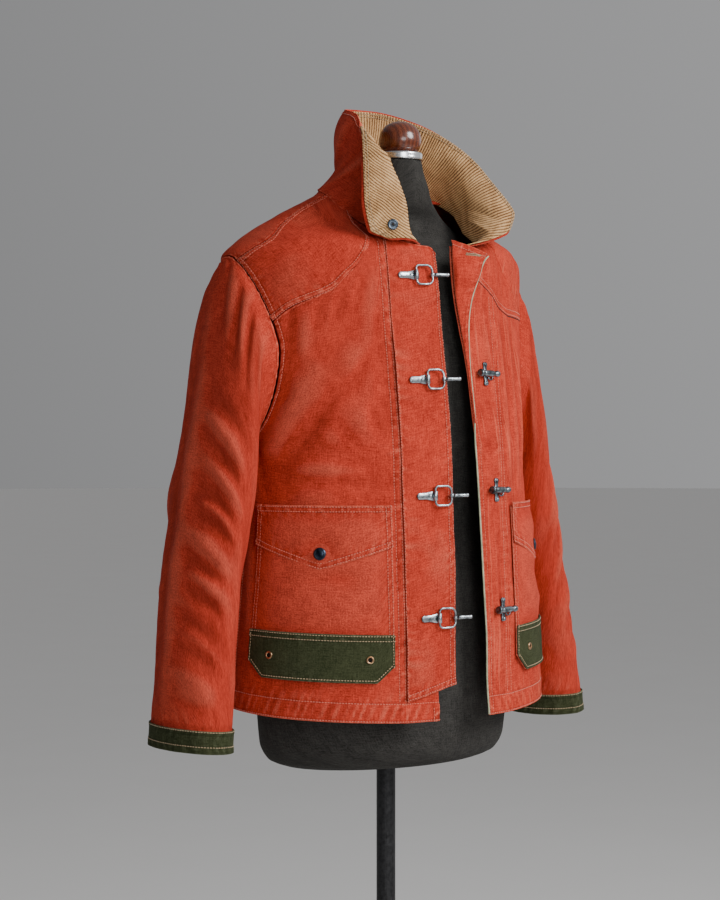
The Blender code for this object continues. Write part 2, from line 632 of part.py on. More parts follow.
# ---------------------------------------------------------------- what is sewn onto the fronts

# Storm flap: on the right front's own grid lines and out past its edge.
near = fronts[-1][0]
beyond_g = np.array([STORM_G[0], (STORM_G[0] + EDGE_G) / 2])
rows = np.arange(3, len(ROW_Z))
flap_z = np.repeat(ROW_Z[rows][:, None], 2, axis=1)
flap_z[-1] = [neckline(neck_angle(g))[1] for g in beyond_g]
flap_z[-1, 0] -= STORM_CORNER
beyond, beyond_out = shell(np.repeat(beyond_g[None], len(rows), axis=0), flap_z, -1)
grid = np.concatenate([beyond, near[0][rows]], axis=1)
out = np.concatenate([beyond_out, near[1][rows]], axis=1)
foot_g = np.concatenate([beyond_g, [EDGE_G, (EDGE_G + SEAM_G) / 2, SEAM_G]])
foot_z = mix(STORM_FOOT_Z[0], STORM_FOOT_Z[1], (foot_g - foot_g[0]) / (foot_g[-1] - foot_g[0]))
foot, foot_out = shell(foot_g, foot_z, -1)
grid = np.concatenate([foot[None], grid])
out = np.concatenate([foot_out[None], out])
cloth("storm_flap", [drawn_in((grid, out), top=COLLAR_ROOM)], LIFT, LIFT + FLAP_WALL, "canvas_red")


# Turned-back top of the left front, its facing outward, over the uppermost hook.
def facing_grid():
    hook_z = CLASP_Z[-1] + HOOK_UP[-1]
    low = ROW_Z[(ROW_Z > FACING[0, 0]) & (ROW_Z < hook_z - 0.010)]
    z = np.concatenate([[FACING[0, 0]], low, [hook_z, hook_z + 0.013, FACING_TOP_Z]])
    width = through(FACING[:, 0], FACING[:, 1], z)[:, None]
    start = np.array([left_edge(v) for v in z])
    u = FACING_SHARES[None]
    height = np.repeat(z[:, None], len(FACING_SHARES), axis=1)
    height[-1] -= FACING_FALL * u[0]
    point, out = shell(start[:, None] + width * u, height, 1)
    roll = np.sin(math.pi * (0.10 + 0.66 * u)) * np.minimum(1, width / 0.012)
    over = FACING_OVER * np.exp(-((height - hook_z) / 0.020) ** 2) * np.minimum(1, u / 0.06)
    return point + out * (0.0012 + (0.0010 + 0.20 * width) * roll + over)[..., None], out


cloth("front_facing_left", [facing_grid()], 0, WALL, "canvas_red")


def on_sheet(sheet, row, column):
    """Points and directions between a grid's own lines."""
    row, column = np.broadcast_arrays(np.asarray(row, float), np.asarray(column, float))
    return tuple(np.stack([between(part[..., k], row, column) for k in range(3)], -1) for part in sheet)


def row_at(z):
    return np.interp(z, ROW_Z, np.arange(len(ROW_Z)))


# Pockets, their patches and flaps, on the panel's own column and row lines.
rows = np.arange(2, 8)
columns = np.arange(1, 8)
inner_cut = [(0, 0, 0), (0, 0, len(columns) - 1)]
low = 2 * LIFT + WALL
for side, name in ((-1, "right"), (1, "left")):
    grid, out = fronts[side][1]
    piece = grid[np.ix_(rows, columns)], out[np.ix_(rows, columns)]
    cloth(f"pocket_{name}", [piece], LIFT, LIFT + WALL, "canvas_red", dropped=inner_cut)
    patch = piece[0][:3], piece[1][:3]
    cloth(f"pocket_patch_{name}", [patch], low, low + PATCH_WALL, "canvas_green", dropped=inner_cut)
    tip = 1 - np.abs(POCKET_COLUMNS - POCKET_COLUMNS[3]) / (POCKET_COLUMNS[3] - POCKET_COLUMNS[0])
    heights = np.stack([FLAP_SIDE_Z + (FLAP_TIP_Z - FLAP_SIDE_Z) * tip, np.full(7, POCKET_Z[1]),
                        np.full(7, POCKET_Z[1] + FLAP_TOP)])
    flap = on_sheet(fronts[side][1], row_at(heights), columns[None])
    cloth(f"pocket_flap_{name}", [flap], low, low + POCKET_FLAP_WALL, "canvas_red")
    at, face = on_sheet(fronts[side][1], row_at(FLAP_TIP_Z + SNAP_UP), 4.0)
    cap = (SNAP_R * 0.97, 0), (SNAP_R, 0.0010), (SNAP_R * 0.8, 0.0026), (SNAP_R * 0.3, 0.0032)
    lathe(f"flap_snap_{name}", cap, at + face * (low + POCKET_FLAP_WALL + GAP + TRIM_LIFT), face, "snap_dark", 20)
    for where, g in zip(("inner", "outer"), EYELET_G):
        column = np.interp(g, POCKET_COLUMNS, columns)
        at, face = on_sheet(fronts[side][1], row_at(POCKET_Z[0] + EYELET_UP), column)
        washer(f"eyelet_{where}_{name}", [(EYELET_HOLE_R, 0), (EYELET_R, 0), (EYELET_R * 0.92, 0.0008),
               (EYELET_R * 0.72, 0.0012), (EYELET_HOLE_R, 0.0006)],
               at + face * (low + PATCH_WALL + GAP + TRIM_LIFT), face, "eyelet_brass", 16)


# ---------------------------------------------------------------- clasps

def frame_at(g, z, side, height):
    """A place on the cloth: its middle, the way toward the centre front, out, and up."""
    at, out = shell(g, z, side)
    up = shell(g, z + 0.01, side)[0] - shell(g, z - 0.01, side)[0]
    up -= out * np.dot(up, out)
    up /= np.linalg.norm(up)
    toward = np.cross(up, out)
    if np.dot(toward, shell(g - 0.005, z, side)[0] - at) < 0:
        toward = -toward
    return at + out * height, toward, out, up


def strip_solid(name, frame, path, half_widths, slot):
    """A bent strip: path rows are (toward, out) of its middle line, drawn up and down."""
    origin, toward, out, up = frame
    path = np.asarray(path, float)
    step = np.gradient(path, axis=0)
    step /= np.linalg.norm(step, axis=1, keepdims=True)
    normal = np.stack([-step[:, 1], step[:, 0]], -1)
    rings = []
    for p, n, w in zip(path, normal, half_widths):
        ring = []
        for a, b in ((1, 1), (1, -1), (-1, -1), (-1, 1)):
            q = p + n * (STRIP_T / 2) * a
            ring.append(origin + toward * q[0] + out * q[1] + up * w * b)
        rings.append(ring)
    return tube(name, rings, slot, closed=False)


def knuckle(bar, sign, wrap=290, steps=9):
    """A strip's middle line round a bar, from under it and back over: sign 1 turns forward."""
    radius = WIRE_R + KNUCKLE_CLEAR + STRIP_T / 2
    angle = np.radians(-90 + np.linspace(0, wrap, steps))
    return [(bar[0] + sign * radius * math.cos(a), bar[1] + radius * math.sin(a)) for a in angle]


def ring_path():
    """The clasp ring's middle line in its own plane, the inner bar at 0: (toward, up)."""
    w, h = RING_W, RING_H / 2
    small, big = RING_CORNERS
    corners = ((small, small, -h + small, 180), (big, w - big, -h + big, 270),
               (big, w - big, h - big, 0), (small, small, h - small, 90))
    points = []
    for r, x, y, start in corners:
        for a in np.radians(start + np.linspace(0, 90, 4)):
            points.append((x + r * math.cos(a), y + r * math.sin(a)))
    return points


BAR_OUT = STRIP_T + KNUCKLE_CLEAR + WIRE_R  # the bars' height over the strip's underside
half = PLATE_L / 2
for number, (g, z) in enumerate(zip(CLASP_G, CLASP_Z), 1):
    base = frame_at(g + half, z, -1, LIFT + FLAP_WALL + 2 * GAP)
    path = [(-half, STRIP_T / 2), (-half * 0.9, STRIP_T / 2), (0, STRIP_T / 2), (half * 0.7, STRIP_T / 2)]
    path += knuckle((half, BAR_OUT), 1)
    widths = [0.0026, 0.0036, 0.0040, 0.0048] + [0.0058] * (len(path) - 4)
    strip_solid(f"clasp_plate_{number}", base, path, widths, "steel_clasp")
    origin, toward, out, up = base
    pivot = origin + toward * half + out * BAR_OUT
    loop = ring_path()
    rings = []
    for k, p in enumerate(loop):
        ahead, behind = np.array(loop[(k + 1) % len(loop)]), np.array(loop[k - 1])
        step = (ahead - behind) / np.linalg.norm(ahead - behind)
        side_way = toward * step[1] - up * step[0]
        middle = pivot + toward * p[0] + up * p[1]
        rings.append([middle + WIRE_R * (math.cos(a) * side_way + math.sin(a) * out)
                      for a in np.arange(6) * math.pi / 3])
    tube(f"clasp_ring_{number}", rings, "steel_clasp")
    far = (half + RING_W, BAR_OUT)
    tail = knuckle(far, -1)[::-1]
    tail += [(far[0] + x, BAR_OUT - TAB_DROP) for x in (0.004, 0.012, TAB_L * 0.94, TAB_L)]
    widths = [TAB_W / 2] * (len(tail) - 1) + [TAB_W * 0.3]
    strip_solid(f"clasp_tab_{number}", base, tail, widths, "steel_clasp")

# Hooks on the left front: an upright riveted bar and a barrel across it, its collar forward.
# rows of the bar: up, half width
BAR = ((-0.0150, 0.0016), (-0.0135, 0.0028), (0.0, 0.0024), (0.0135, 0.0028), (0.0150, 0.0016))
BAR_SECTION = ((-1, 0.0), (1, 0.0), (0.8, 0.0014), (-0.8, 0.0014))  # share of the half width, out
BARREL = ((0.0024, 0), (0.0033, 0.0008), (0.0033, 0.0036), (0.0024, 0.0050), (0.0026, 0.0270),
          (0.0019, 0.0290), (0.0019, 0.0310), (0.0028, 0.0330), (0.0028, 0.0370), (0.0014, 0.0400))
for number, (back, clasp_z, rise) in enumerate(zip(HOOK_BACK, CLASP_Z, HOOK_UP), 1):
    z = clasp_z + rise
    origin, toward, out, up = frame_at(left_edge(z) + back, z, 1, 2 * GAP)
    rings = [[origin + up * s + toward * a * w + out * b for a, b in BAR_SECTION] for s, w in BAR]
    tube(f"hook_bar_{number}", rings, "steel_clasp", closed=False)
    start = origin + toward * BARREL_FORE + out * BARREL_OUT
    lathe(f"hook_barrel_{number}", BARREL, start, -toward, "steel_clasp", 12)


# ---------------------------------------------------------------- collar snap

grid, face = collar_grid(), inner[4, 1]
lathe("collar_snap", [(0.0066, 0), (0.0068, 0.0008), (0.0056, 0.0018), (0.0020, 0.0021)],
      grid[4, 1] + face * (GAP / 2 + CORD_WALL + GAP + 2 * TRIM_LIFT), face, "snap_dark", 20)


# ---------------------------------------------------------------- dress form and stand

around = 28
angle = np.arange(around) * 2 * math.pi / around
levels = np.concatenate([FORM[:3, 0], np.linspace(0.86, 1.40, 9), FORM[9:, 0]])
rings = []
for z in levels:
    a, mid, front, back = (float(through(FORM[:, 0], FORM[:, k], z)) for k in range(1, 5))
    depth = np.where(np.cos(angle) > 0, front, back)
    rings.append(np.stack([a * np.sin(angle), mid - depth * np.cos(angle), np.full(around, z)], -1))
tube("form_torso", rings, "form_cloth", closed=False)
ring_z = NECK_TOP_Z + GAP
ring = (0.0270, 0), (0.0292, 0.0008), (0.0296, 0.0050), (0.0292, 0.0094), (0.0262, RING_TALL)
lathe("neck_ring", ring, (0, NECK_Y, ring_z), (0, 0, 1), "ring_metal", 32)
lathe("neck_knob", KNOB[:, ::-1], (0, NECK_Y, ring_z + RING_TALL + GAP), (0, 0, 1), "knob_wood", 32)
pole = ((POLE_R, FOOT_H + GAP), (POLE_R, FORM_FOOT_Z - GAP))
lathe("stand_pole", pole, (0, 0, 0), (0, 0, 1), "stand_metal", 24)
foot = ((FOOT_R - 0.004, 0), (FOOT_R, 0.004), (FOOT_R, 0.009), (FOOT_R * 0.90, 0.0130),
        (FOOT_R * 0.30, 0.0180), (FOOT_R * 0.14, FOOT_H))
lathe("stand_foot", foot, (0, 0, 0), (0, 0, 1), "stand_metal", 48)
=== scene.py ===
"""The looks of a canvas work jacket with a corduroy collar, worn open on a dress form.

Lengths are in metres. The jacket faces -Y, and side -1 is the wearer's right. A place on the
jacket's body is (g, z): g along the cloth from the centre front, z up."""

import math

import bmesh
import bpy
import numpy as np
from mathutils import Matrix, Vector
from mathutils.bvhtree import BVHTree


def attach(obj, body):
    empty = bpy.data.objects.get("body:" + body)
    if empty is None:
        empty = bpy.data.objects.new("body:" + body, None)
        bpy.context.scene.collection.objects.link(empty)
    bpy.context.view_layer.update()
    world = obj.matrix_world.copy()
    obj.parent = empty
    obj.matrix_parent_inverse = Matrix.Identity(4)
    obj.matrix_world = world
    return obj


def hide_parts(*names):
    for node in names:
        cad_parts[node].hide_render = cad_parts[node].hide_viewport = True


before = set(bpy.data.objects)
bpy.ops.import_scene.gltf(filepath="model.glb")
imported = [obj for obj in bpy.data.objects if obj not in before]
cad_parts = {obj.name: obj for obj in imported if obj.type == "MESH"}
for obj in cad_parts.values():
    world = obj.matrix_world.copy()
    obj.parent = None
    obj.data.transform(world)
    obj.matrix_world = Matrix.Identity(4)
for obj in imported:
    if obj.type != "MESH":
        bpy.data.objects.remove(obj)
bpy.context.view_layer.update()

SIDES = {-1: "right", 1: "left"}
ROOT = "dressed_form"

# ---------------------------------------------------------------- sizes, as in the solids

WALL, FLAP_WALL, CORD_WALL, TRIM_WALL = 0.0018, 0.0024, 0.002, 0.0018
GAP, LIFT = 0.0003, 0.0005
HEM_Z, HEM_RISE = 0.867, 0.012
SIDE_T = math.radians(97)
EDGE_G = 0.038
STORM_G = (0.0135, 0.084)
STORM_FOOT_Z = (0.911, 0.892)
POCKET_G = (0.099, 0.279)
POCKET_Z = (0.916, 1.13)
POCKET_CUT = 0.021
PATCH_TOP_Z = 0.9755
FLAP_SIDE_Z, FLAP_TIP_Z = 1.084, 1.053
FLAP_TOP = 0.004
SNAP_R, SNAP_UP = 0.0078, 0.021
EYELET_R, EYELET_HOLE_R = 0.005, 0.0026
EYELET_G, EYELET_UP = (0.129, 0.248), 0.029
TRIM_LIFT = 0.0004
NECK_CORNERS = (0.0785, 0.0905)  # where the storm seam and the yoke's seam meet the neckline
CLASP_Z = (0.994, 1.145, 1.289, 1.42)
CLASP_G = (0.0395, 0.041, 0.043, 0.0465)
RING_W, RING_H, WIRE_R = 0.0226, 0.024, 0.0014
STRIP_T, KNUCKLE_CLEAR = 0.001, 0.0003
PLATE_L = 0.0245
TAB_L, TAB_W = 0.024, 0.0042
TAB_DROP = 0.0022
HOOK_BACK, HOOK_UP = (0.034, 0.034, 0.034, 0.0235), (0.0045, 0.0055, 0.0095, 0.003)
BARREL_FORE, BARREL_OUT = 0.018, 0.005
FACING_TOP_Z, FACING_FALL, FACING_OVER = 1.464, 0.014, 0.004
NECK_TOP_Z, NECK_Y = 1.576, -0.03
LOW_TOP_Z = 1.2085  # just below the underarm

BODY = np.array((
    # height, half width, middle y, depth to the front, depth to the back, squareness
    (0.84, 0.229, 0.005, 0.165, 0.142, 2.16),
    (0.95, 0.2235, 0.005, 0.163, 0.137, 2.14),
    (1.05, 0.213, 0.007, 0.163, 0.13, 2.1),
    (1.15, 0.205, 0.013, 0.165, 0.122, 2.06),
    (1.21, 0.2055, 0.018, 0.167, 0.119, 2.04),
    (1.29, 0.2105, 0.024, 0.164, 0.12, 2.02),
    (1.36, 0.2175, 0.03, 0.16, 0.112, 2.0),
    (1.41, 0.2235, 0.033, 0.156, 0.098, 2.0),
    (1.444, 0.227, 0.035, 0.153, 0.083, 2.0),
    (1.462, 0.211, 0.031, 0.147, 0.078, 2.0),
    (1.487, 0.177, 0.024, 0.098, 0.072, 2.0),
    (1.512, 0.133, 0.018, 0.068, 0.063, 2.0),
    (1.532, 0.096, 0.014, 0.053, 0.053, 2.0),
    (1.56, 0.076, 0.012, 0.046, 0.046, 2.0),
))
NECKLINE = np.array((
    # angle from the centre front in degrees, height
    (0, 1.46), (9, 1.461), (19, 1.467), (28, 1.488), (43, 1.509),
    (75, 1.53), (115, 1.541), (150, 1.549), (180, 1.552),
))
LEFT_EDGE = np.array((
    # height, distance of the left front's edge from the centre front
    (0.84, 0.0445), (0.957, 0.04), (1.24, 0.0275), (1.32, 0.021), (1.417, 0.011), (1.47, 0.012),
))
FACING = np.array((
    # height, how far the turned-out facing reaches back from the left front's edge
    (1.235, 0.0016), (1.29, 0.0034), (1.353, 0.011), (1.39, 0.023), (1.42, 0.037), (1.462, 0.059),
))
YOKE = np.array((
    # half width, height of the yoke's curved seam, from the neckline to the armhole
    (0.1, 1.473), (0.107, 1.448), (0.119, 1.43), (0.13, 1.4193), (0.147, 1.4014),
    (0.17, 1.389), (0.186, 1.38), (0.1945, 1.368),
))
ARMHOLE_Z, ARMHOLE_H, ARMHOLE_Y, ARMHOLE_D = 1.328, 0.118, 0.032, 0.071
SHOULDER_T = 75
YOKE_PHI = (73.333, 20.0)  # where the yoke meets the armhole, in degrees from its top
BACK_PHI = (180.0, 325.455, 380.0)  # underarm, level of the yoke, shoulder seam
SLEEVE = np.array((
    # outer x, outer z, inner x, inner z, middle y, half depth
    (0.2335, 1.43, 0.2085, 1.201, 0.033, 0.071),
    (0.24, 1.402, 0.2105, 1.188, 0.034, 0.073),
    (0.2445, 1.368, 0.212, 1.172, 0.034, 0.0745),
    (0.2495, 1.33, 0.2125, 1.154, 0.033, 0.0755),
    (0.2555, 1.29, 0.213, 1.134, 0.032, 0.0765),
    (0.262, 1.25, 0.215, 1.112, 0.031, 0.0775),
    (0.269, 1.212, 0.2175, 1.09, 0.03, 0.0785),
    (0.2755, 1.176, 0.2205, 1.068, 0.03, 0.0785),
    (0.282, 1.14, 0.224, 1.046, 0.029, 0.0775),
    (0.2885, 1.104, 0.227, 1.023, 0.027, 0.0755),
    (0.2955, 1.064, 0.23, 0.998, 0.024, 0.0735),
    (0.3035, 1.02, 0.2335, 0.968, 0.021, 0.0715),
    (0.311, 0.97, 0.237, 0.934, 0.018, 0.07),
    (0.3185, 0.916, 0.2405, 0.898, 0.014, 0.0685),
    (0.3245, 0.868, 0.243, 0.862, 0.011, 0.0675),
    (0.327, 0.842, 0.244, 0.836, 0.0105, 0.067),
))
SWING = {-1: 0.009, 1: 0.0}
SLEEVE_FOLDS = np.array((
    # ring, angle (0 outside, 90 front), reach in rings, reach in degrees, lean, height
    (4.0, 60, 1.6, 70, -0.01, 0.003),
    (6.4, 80, 0.9, 60, -0.012, -0.0026),
    (7.8, 70, 0.8, 60, -0.012, 0.0022),
    (9.0, 90, 0.8, 60, -0.01, -0.002),
    (8.0, 250, 0.9, 60, 0.01, -0.003),
    (6.0, 240, 0.9, 60, 0.01, 0.0026),
))
COLLAR = np.array((
    # station, roll line x, y, z, free edge x, y, z, from the right front round to the left
    (0.0, -0.064, -0.126, 1.464, -0.098, -0.106, 1.461),
    (0.06, -0.054, -0.124, 1.505, -0.108, -0.102, 1.476),
    (0.14, -0.058, -0.114, 1.538, -0.116, -0.101, 1.512),
    (0.23, -0.066, -0.092, 1.572, -0.108, -0.09, 1.556),
    (0.32, -0.074, -0.052, 1.594, -0.089, -0.066, 1.594),
    (0.41, -0.076, -0.004, 1.6, -0.062, -0.022, 1.63),
    (0.5, -0.048, 0.046, 1.602, -0.042, 0.03, 1.646),
    (0.6, 0.03, 0.06, 1.605, 0.022, 0.053, 1.653),
    (0.7, 0.088, 0.028, 1.59, 0.078, 0.028, 1.638),
    (0.79, 0.102, -0.012, 1.568, 0.117, -0.006, 1.608),
    (0.87, 0.1, -0.056, 1.538, 0.132, -0.044, 1.57),
    (0.94, 0.086, -0.108, 1.497, 0.132, -0.1, 1.518),
    (1.0, 0.076, -0.133, 1.471, 0.118, -0.122, 1.49),
))
COLLAR_ENDS = (-0.034, 0.03)
FORM = np.array((
    # height, half width, middle y, depth to the front, depth to the back
    (0.8, 0.15, 0.006, 0.098, 0.098),
    (0.806, 0.166, 0.006, 0.112, 0.112),
    (0.83, 0.178, 0.006, 0.124, 0.122),
    (0.92, 0.184, 0.006, 0.13, 0.122),
    (1.02, 0.176, 0.007, 0.128, 0.112),
    (1.12, 0.16, 0.012, 0.124, 0.1),
    (1.2, 0.164, 0.017, 0.134, 0.098),
    (1.29, 0.178, 0.023, 0.138, 0.1),
    (1.37, 0.19, 0.029, 0.136, 0.092),
    (1.415, 0.196, 0.032, 0.128, 0.078),
    (1.44, 0.195, 0.033, 0.118, 0.064),
    (1.456, 0.184, 0.031, 0.102, 0.058),
    (1.474, 0.157, 0.026, 0.078, 0.054),
    (1.49, 0.126, 0.018, 0.062, 0.052),
    (1.504, 0.095, 0.006, 0.05, 0.052),
    (1.515, 0.07, -0.008, 0.046, 0.052),
    (1.528, 0.05, -0.02, 0.041, 0.047),
    (1.545, 0.038, -0.028, 0.036, 0.038),
    (1.56, 0.031, -0.03, 0.031, 0.031),
    (1.5755, 0.028, -0.03, 0.028, 0.028),
))
KNOB = np.array((
    # height above the ring, radius
    (0.0, 0.0215), (0.003, 0.0242), (0.008, 0.0268), (0.015, 0.028), (0.023, 0.0268),
    (0.031, 0.0225), (0.037, 0.0155), (0.04, 0.0075),
))

VIEW_AZIMUTH, VIEW_DISTANCE, EYE_Z = math.radians(-38), 2.6, 1.227
FOCUS_PX, FRAME_W, FRAME_H = 2000, 720, 900
AXIS_PX = (400, 430)  # where the camera's axis meets the frame

# ---------------------------------------------------------------- folds of the cloth
# A row is one soft fold: its two ends, its half width, its height (less than 0 for a trough)
# and how far it bows sideways. Lengths are in millimetres here, and in metres in use.

RIGHT_FOLDS = np.array((
    # g, z, g, z, half width, height, bow
    (112, 1322, 248, 1160, 12, -4.2, 2),
    (180, 1308, 258, 1192, 13, 4, 4),
    (262, 1330, 226, 1262, 11, -3, 4),
    (286, 1262, 256, 1135, 9, -4, 6),
    (128, 1330, 180, 1240, 10, 2.2, -6),
    (162, 1244, 138, 1206, 9, -2.2, 3),
    (120, 1262, 100, 1212, 9, -2.2, 3),
    (208, 1388, 216, 1322, 7, -3.2, 2),
    (190, 1372, 196, 1300, 9, 2.2, 3),
    (172, 1388, 179, 1352, 5, -1.4, 1),
    (157, 1392, 166, 1350, 5, 1.2, 1),
    (141, 1404, 152, 1366, 5, -1.4, 1),
    (128, 1406, 138, 1374, 5, 1, 1),
    (118, 1416, 129, 1380, 5, -1.4, 1),
    (104, 1420, 112, 1340, 8, 1.4, 2),
    (100, 1390, 94, 1210, 9, -1.4, 4),
    (118, 1159, 246, 1163, 8, -2.2, 3),
    (126, 1178, 232, 1181, 9, 2, -3),
    (150, 1198, 210, 1204, 8, -1.4, 2),
    (92, 1120, 89, 960, 8, -1.6, 2),
    (290, 1120, 296, 930, 10, 3, 4),
    (120, 905, 190, 899, 8, -1.6, 2),
    (185, 898, 262, 904, 8, 1.4, 2),
)) / 1000
LEFT_FOLDS = np.array((
    # g, z, g, z, half width, height, bow
    (58, 1402, 78, 1150, 5, 1.8, 5),
    (70, 1396, 86, 1160, 6, -2, 6),
    (92, 1392, 100, 1130, 5, 2, 7),
    (106, 1384, 114, 1150, 7, -2.4, 6),
    (121, 1376, 128, 1140, 5.5, 2.2, 8),
    (138, 1360, 144, 1180, 8, -2.6, 8),
    (156, 1350, 160, 1170, 6.5, 2.2, 9),
    (262, 1300, 215, 1165, 12, 3.6, 12),
    (283, 1262, 250, 1135, 9, -3.6, 6),
    (64, 1130, 70, 905, 5, 1.6, -5),
    (75, 1110, 80, 930, 6, -2, -4),
    (86, 1110, 91, 900, 5, 1.8, 4),
    (290, 1110, 296, 930, 10, 2.8, 4),
)) / 1000
BACK_FOLDS = np.array((
    # x across, z, x, z, half width, height, bow
    (-175, 1330, -75, 1290, 14, -4, 8),
    (-178, 1290, -60, 1215, 13, 3.8, 10),
    (-172, 1235, -85, 1120, 12, -3.6, 8),
    (170, 1345, 82, 1300, 14, -3.6, -10),
    (180, 1300, 68, 1240, 13, 4, -8),
    (175, 1230, 95, 1095, 12, -3.4, -6),
    (-50, 1140, 60, 1120, 12, -3, 6),
    (-80, 1098, 35, 1082, 12, 2.8, 8),
    (-20, 1055, 100, 1062, 13, -2.4, -6),
    (-120, 1040, -135, 890, 16, 4, 6),
    (105, 1020, 118, 885, 16, 3.6, -6),
    (-30, 1000, -40, 880, 18, -3, 6),
    (45, 1470, 110, 1430, 12, 2.2, 4),
    (-45, 1470, -120, 1425, 12, 2.4, 4),
)) / 1000
ARM_UNITS = np.array((1, 1000, 1, 1000, 1, 1, 1)) / 1000  # angles stay in degrees
ARM_FOLDS = {
    -1: np.array((
        # along the sleeve, angle, along, angle, half width, height, bow
        (50, -8, 520, -6, 12, 2.2, 4),
        (60, -30, 540, -30, 16, -3.4, 6),
        (8, 8, 80, 16, 7, -2.6, 2),
        (8, 24, 110, 22, 7, 2, 4),
        (6, 36, 120, 34, 7, -3, 3),
        (8, 50, 90, 48, 6, 2.4, -3),
        (8, 62, 120, 60, 7, -2.8, -3),
        (8, 80, 80, 92, 8, 2.6, 2),
        (8, 100, 110, 112, 8, -3.2, 4),
        (150, 4, 166, 60, 9, -2.2, -4),
        (174, 6, 194, 74, 9, 4, -4),
        (196, 0, 222, 68, 9, -5.6, -3),
        (224, 14, 242, 92, 8, 4, -3),
        (244, -4, 254, 60, 7, -2.6, -3),
        (264, 8, 272, 84, 8, -5.2, 2),
        (274, 20, 280, 76, 6, 3, 2),
        (287, 18, 293, 80, 7, -4.4, 2),
        (304, 0, 322, 82, 10, 4, -4),
        (330, -2, 346, 70, 8, -3.8, -4),
        (350, 18, 360, 88, 8, 3.4, -3),
        (373, 12, 381, 74, 8, -4.4, 2),
        (394, 2, 420, 68, 9, -4.4, -3),
        (406, 20, 436, 92, 8, 3.2, -3),
        (432, 6, 447, 68, 8, -3, 2),
        (462, 4, 478, 76, 9, 2.6, 2),
        (494, 14, 506, 80, 8, -2.4, 2),
        (160, 150, 230, 200, 11, -4, 8),
        (200, 140, 290, 196, 10, 3.8, 6),
        (260, 150, 330, 208, 10, -3.6, 6),
        (180, 300, 270, 230, 12, -4.4, 10),
        (230, 310, 310, 236, 11, 4, 8),
        (290, 306, 360, 232, 11, -4, 10),
        (360, 300, 420, 240, 10, 3, 6),
    )) * ARM_UNITS,
    1: np.array((
        # along the sleeve, angle, along, angle, half width, height, bow
        (50, 4, 520, -2, 14, 2.6, 8),
        (8, 34, 100, 28, 8, -2.8, 4),
        (6, 54, 110, 50, 8, 2.4, 3),
        (8, 76, 90, 80, 8, -2.8, -4),
        (8, 98, 120, 108, 9, 3, 2),
        (150, 20, 235, 72, 11, -4, -8),
        (185, 30, 255, 98, 10, 4.2, -10),
        (226, 8, 300, 84, 11, -4.4, -10),
        (258, 20, 340, 96, 10, 4, -10),
        (300, 36, 360, 110, 9, -4, -8),
        (330, 4, 396, 66, 11, 3, -10),
        (372, 26, 420, 92, 9, -3, -6),
        (430, 10, 470, 76, 10, 2.4, -6),
        (170, 300, 262, 236, 12, 4.2, 10),
        (222, 306, 300, 232, 11, -4.4, 8),
        (280, 300, 350, 228, 11, 3.6, 10),
        (350, 300, 410, 244, 10, -3, 6),
        (210, 140, 290, 196, 10, -3.6, 6),
    )) * ARM_UNITS,
}
COLLAR_FOLDS = np.array((
    # station, share from the neckline to the free edge, station, share, half width, height, bow
    (0.2, 0.1, 0.23, 0.75, 0.018, 0.0022, 0.002),
    (0.255, 0.05, 0.27, 0.7, 0.016, -0.0026, 0.002),
    (0.3, 0.05, 0.305, 0.85, 0.016, 0.0022, 0.002),
    (0.43, 0.05, 0.415, 0.8, 0.02, -0.002, 0.002),
    (0.9, 0.3, 0.96, 0.75, 0.012, -0.0026, 0.002),
    (0.925, 0.18, 0.985, 0.5, 0.01, 0.002, 0.002),
))

# ---------------------------------------------------------------- curves and the body's shell


def through(xs, ys, x):
    """A smooth line through a table's points that doesn't overshoot them; ys may have columns."""
    xs, ys, x = np.asarray(xs, float), np.asarray(ys, float), np.asarray(x, float)
    step = np.diff(xs).reshape((-1,) + (1,) * (ys.ndim - 1))
    slope = np.diff(ys, axis=0) / step
    before, after = slope[:-1], slope[1:]
    heavy, light = 2 * step[1:] + step[:-1], step[1:] + 2 * step[:-1]
    same = before * after > 0
    safe_before, safe_after = np.where(same, before, 1), np.where(same, after, 1)
    inner = np.where(same, (heavy + light) / (heavy / safe_before + light / safe_after), 0)
    tangent = np.concatenate([slope[:1], inner, slope[-1:]])
    k = np.clip(np.searchsorted(xs, x) - 1, 0, len(xs) - 2)
    shape = x.shape + (1,) * (ys.ndim - 1)
    h = (xs[k + 1] - xs[k]).reshape(shape)
    u = np.clip((x - xs[k]) / (xs[k + 1] - xs[k]), 0, 1).reshape(shape)
    return ((1 + 2 * u) * (1 - u) ** 2 * ys[k] + u * (1 - u) ** 2 * h * tangent[k]
            + u * u * (3 - 2 * u) * ys[k + 1] + u * u * (u - 1) * h * tangent[k + 1])


def mix(a, b, share):
    return a + (b - a) * share


def unit(v):
    return v / np.maximum(np.linalg.norm(v, axis=-1, keepdims=True), 1e-12)


def oval(t, z):
    """A point of the body's outer face: t round from the centre front, z up."""
    a, mid, front, back, square = (through(BODY[:, 0], BODY[:, k], z) for k in range(1, 6))
    s, c = np.sin(t), np.cos(t)
    x = a * np.sign(s) * np.abs(s) ** (2 / square)
    y = mid - np.where(c > 0, front, back) * np.sign(c) * np.abs(c) ** (2 / square)
    return np.stack([x, y, z + 0 * x], -1)


LEVELS, TURNS = np.linspace(0.84, 1.56, 289), np.linspace(0, math.pi, 361)
RINGS = oval(TURNS[None, :], LEVELS[:, None])
GIRTHS = np.concatenate([np.zeros((len(LEVELS), 1)), np.cumsum(
    np.linalg.norm(np.diff(RINGS, axis=1), axis=2), axis=1)], axis=1)
TURN_AT = np.array([np.interp(np.linspace(0, 1, 361) * g[-1], g, TURNS) for g in GIRTHS])


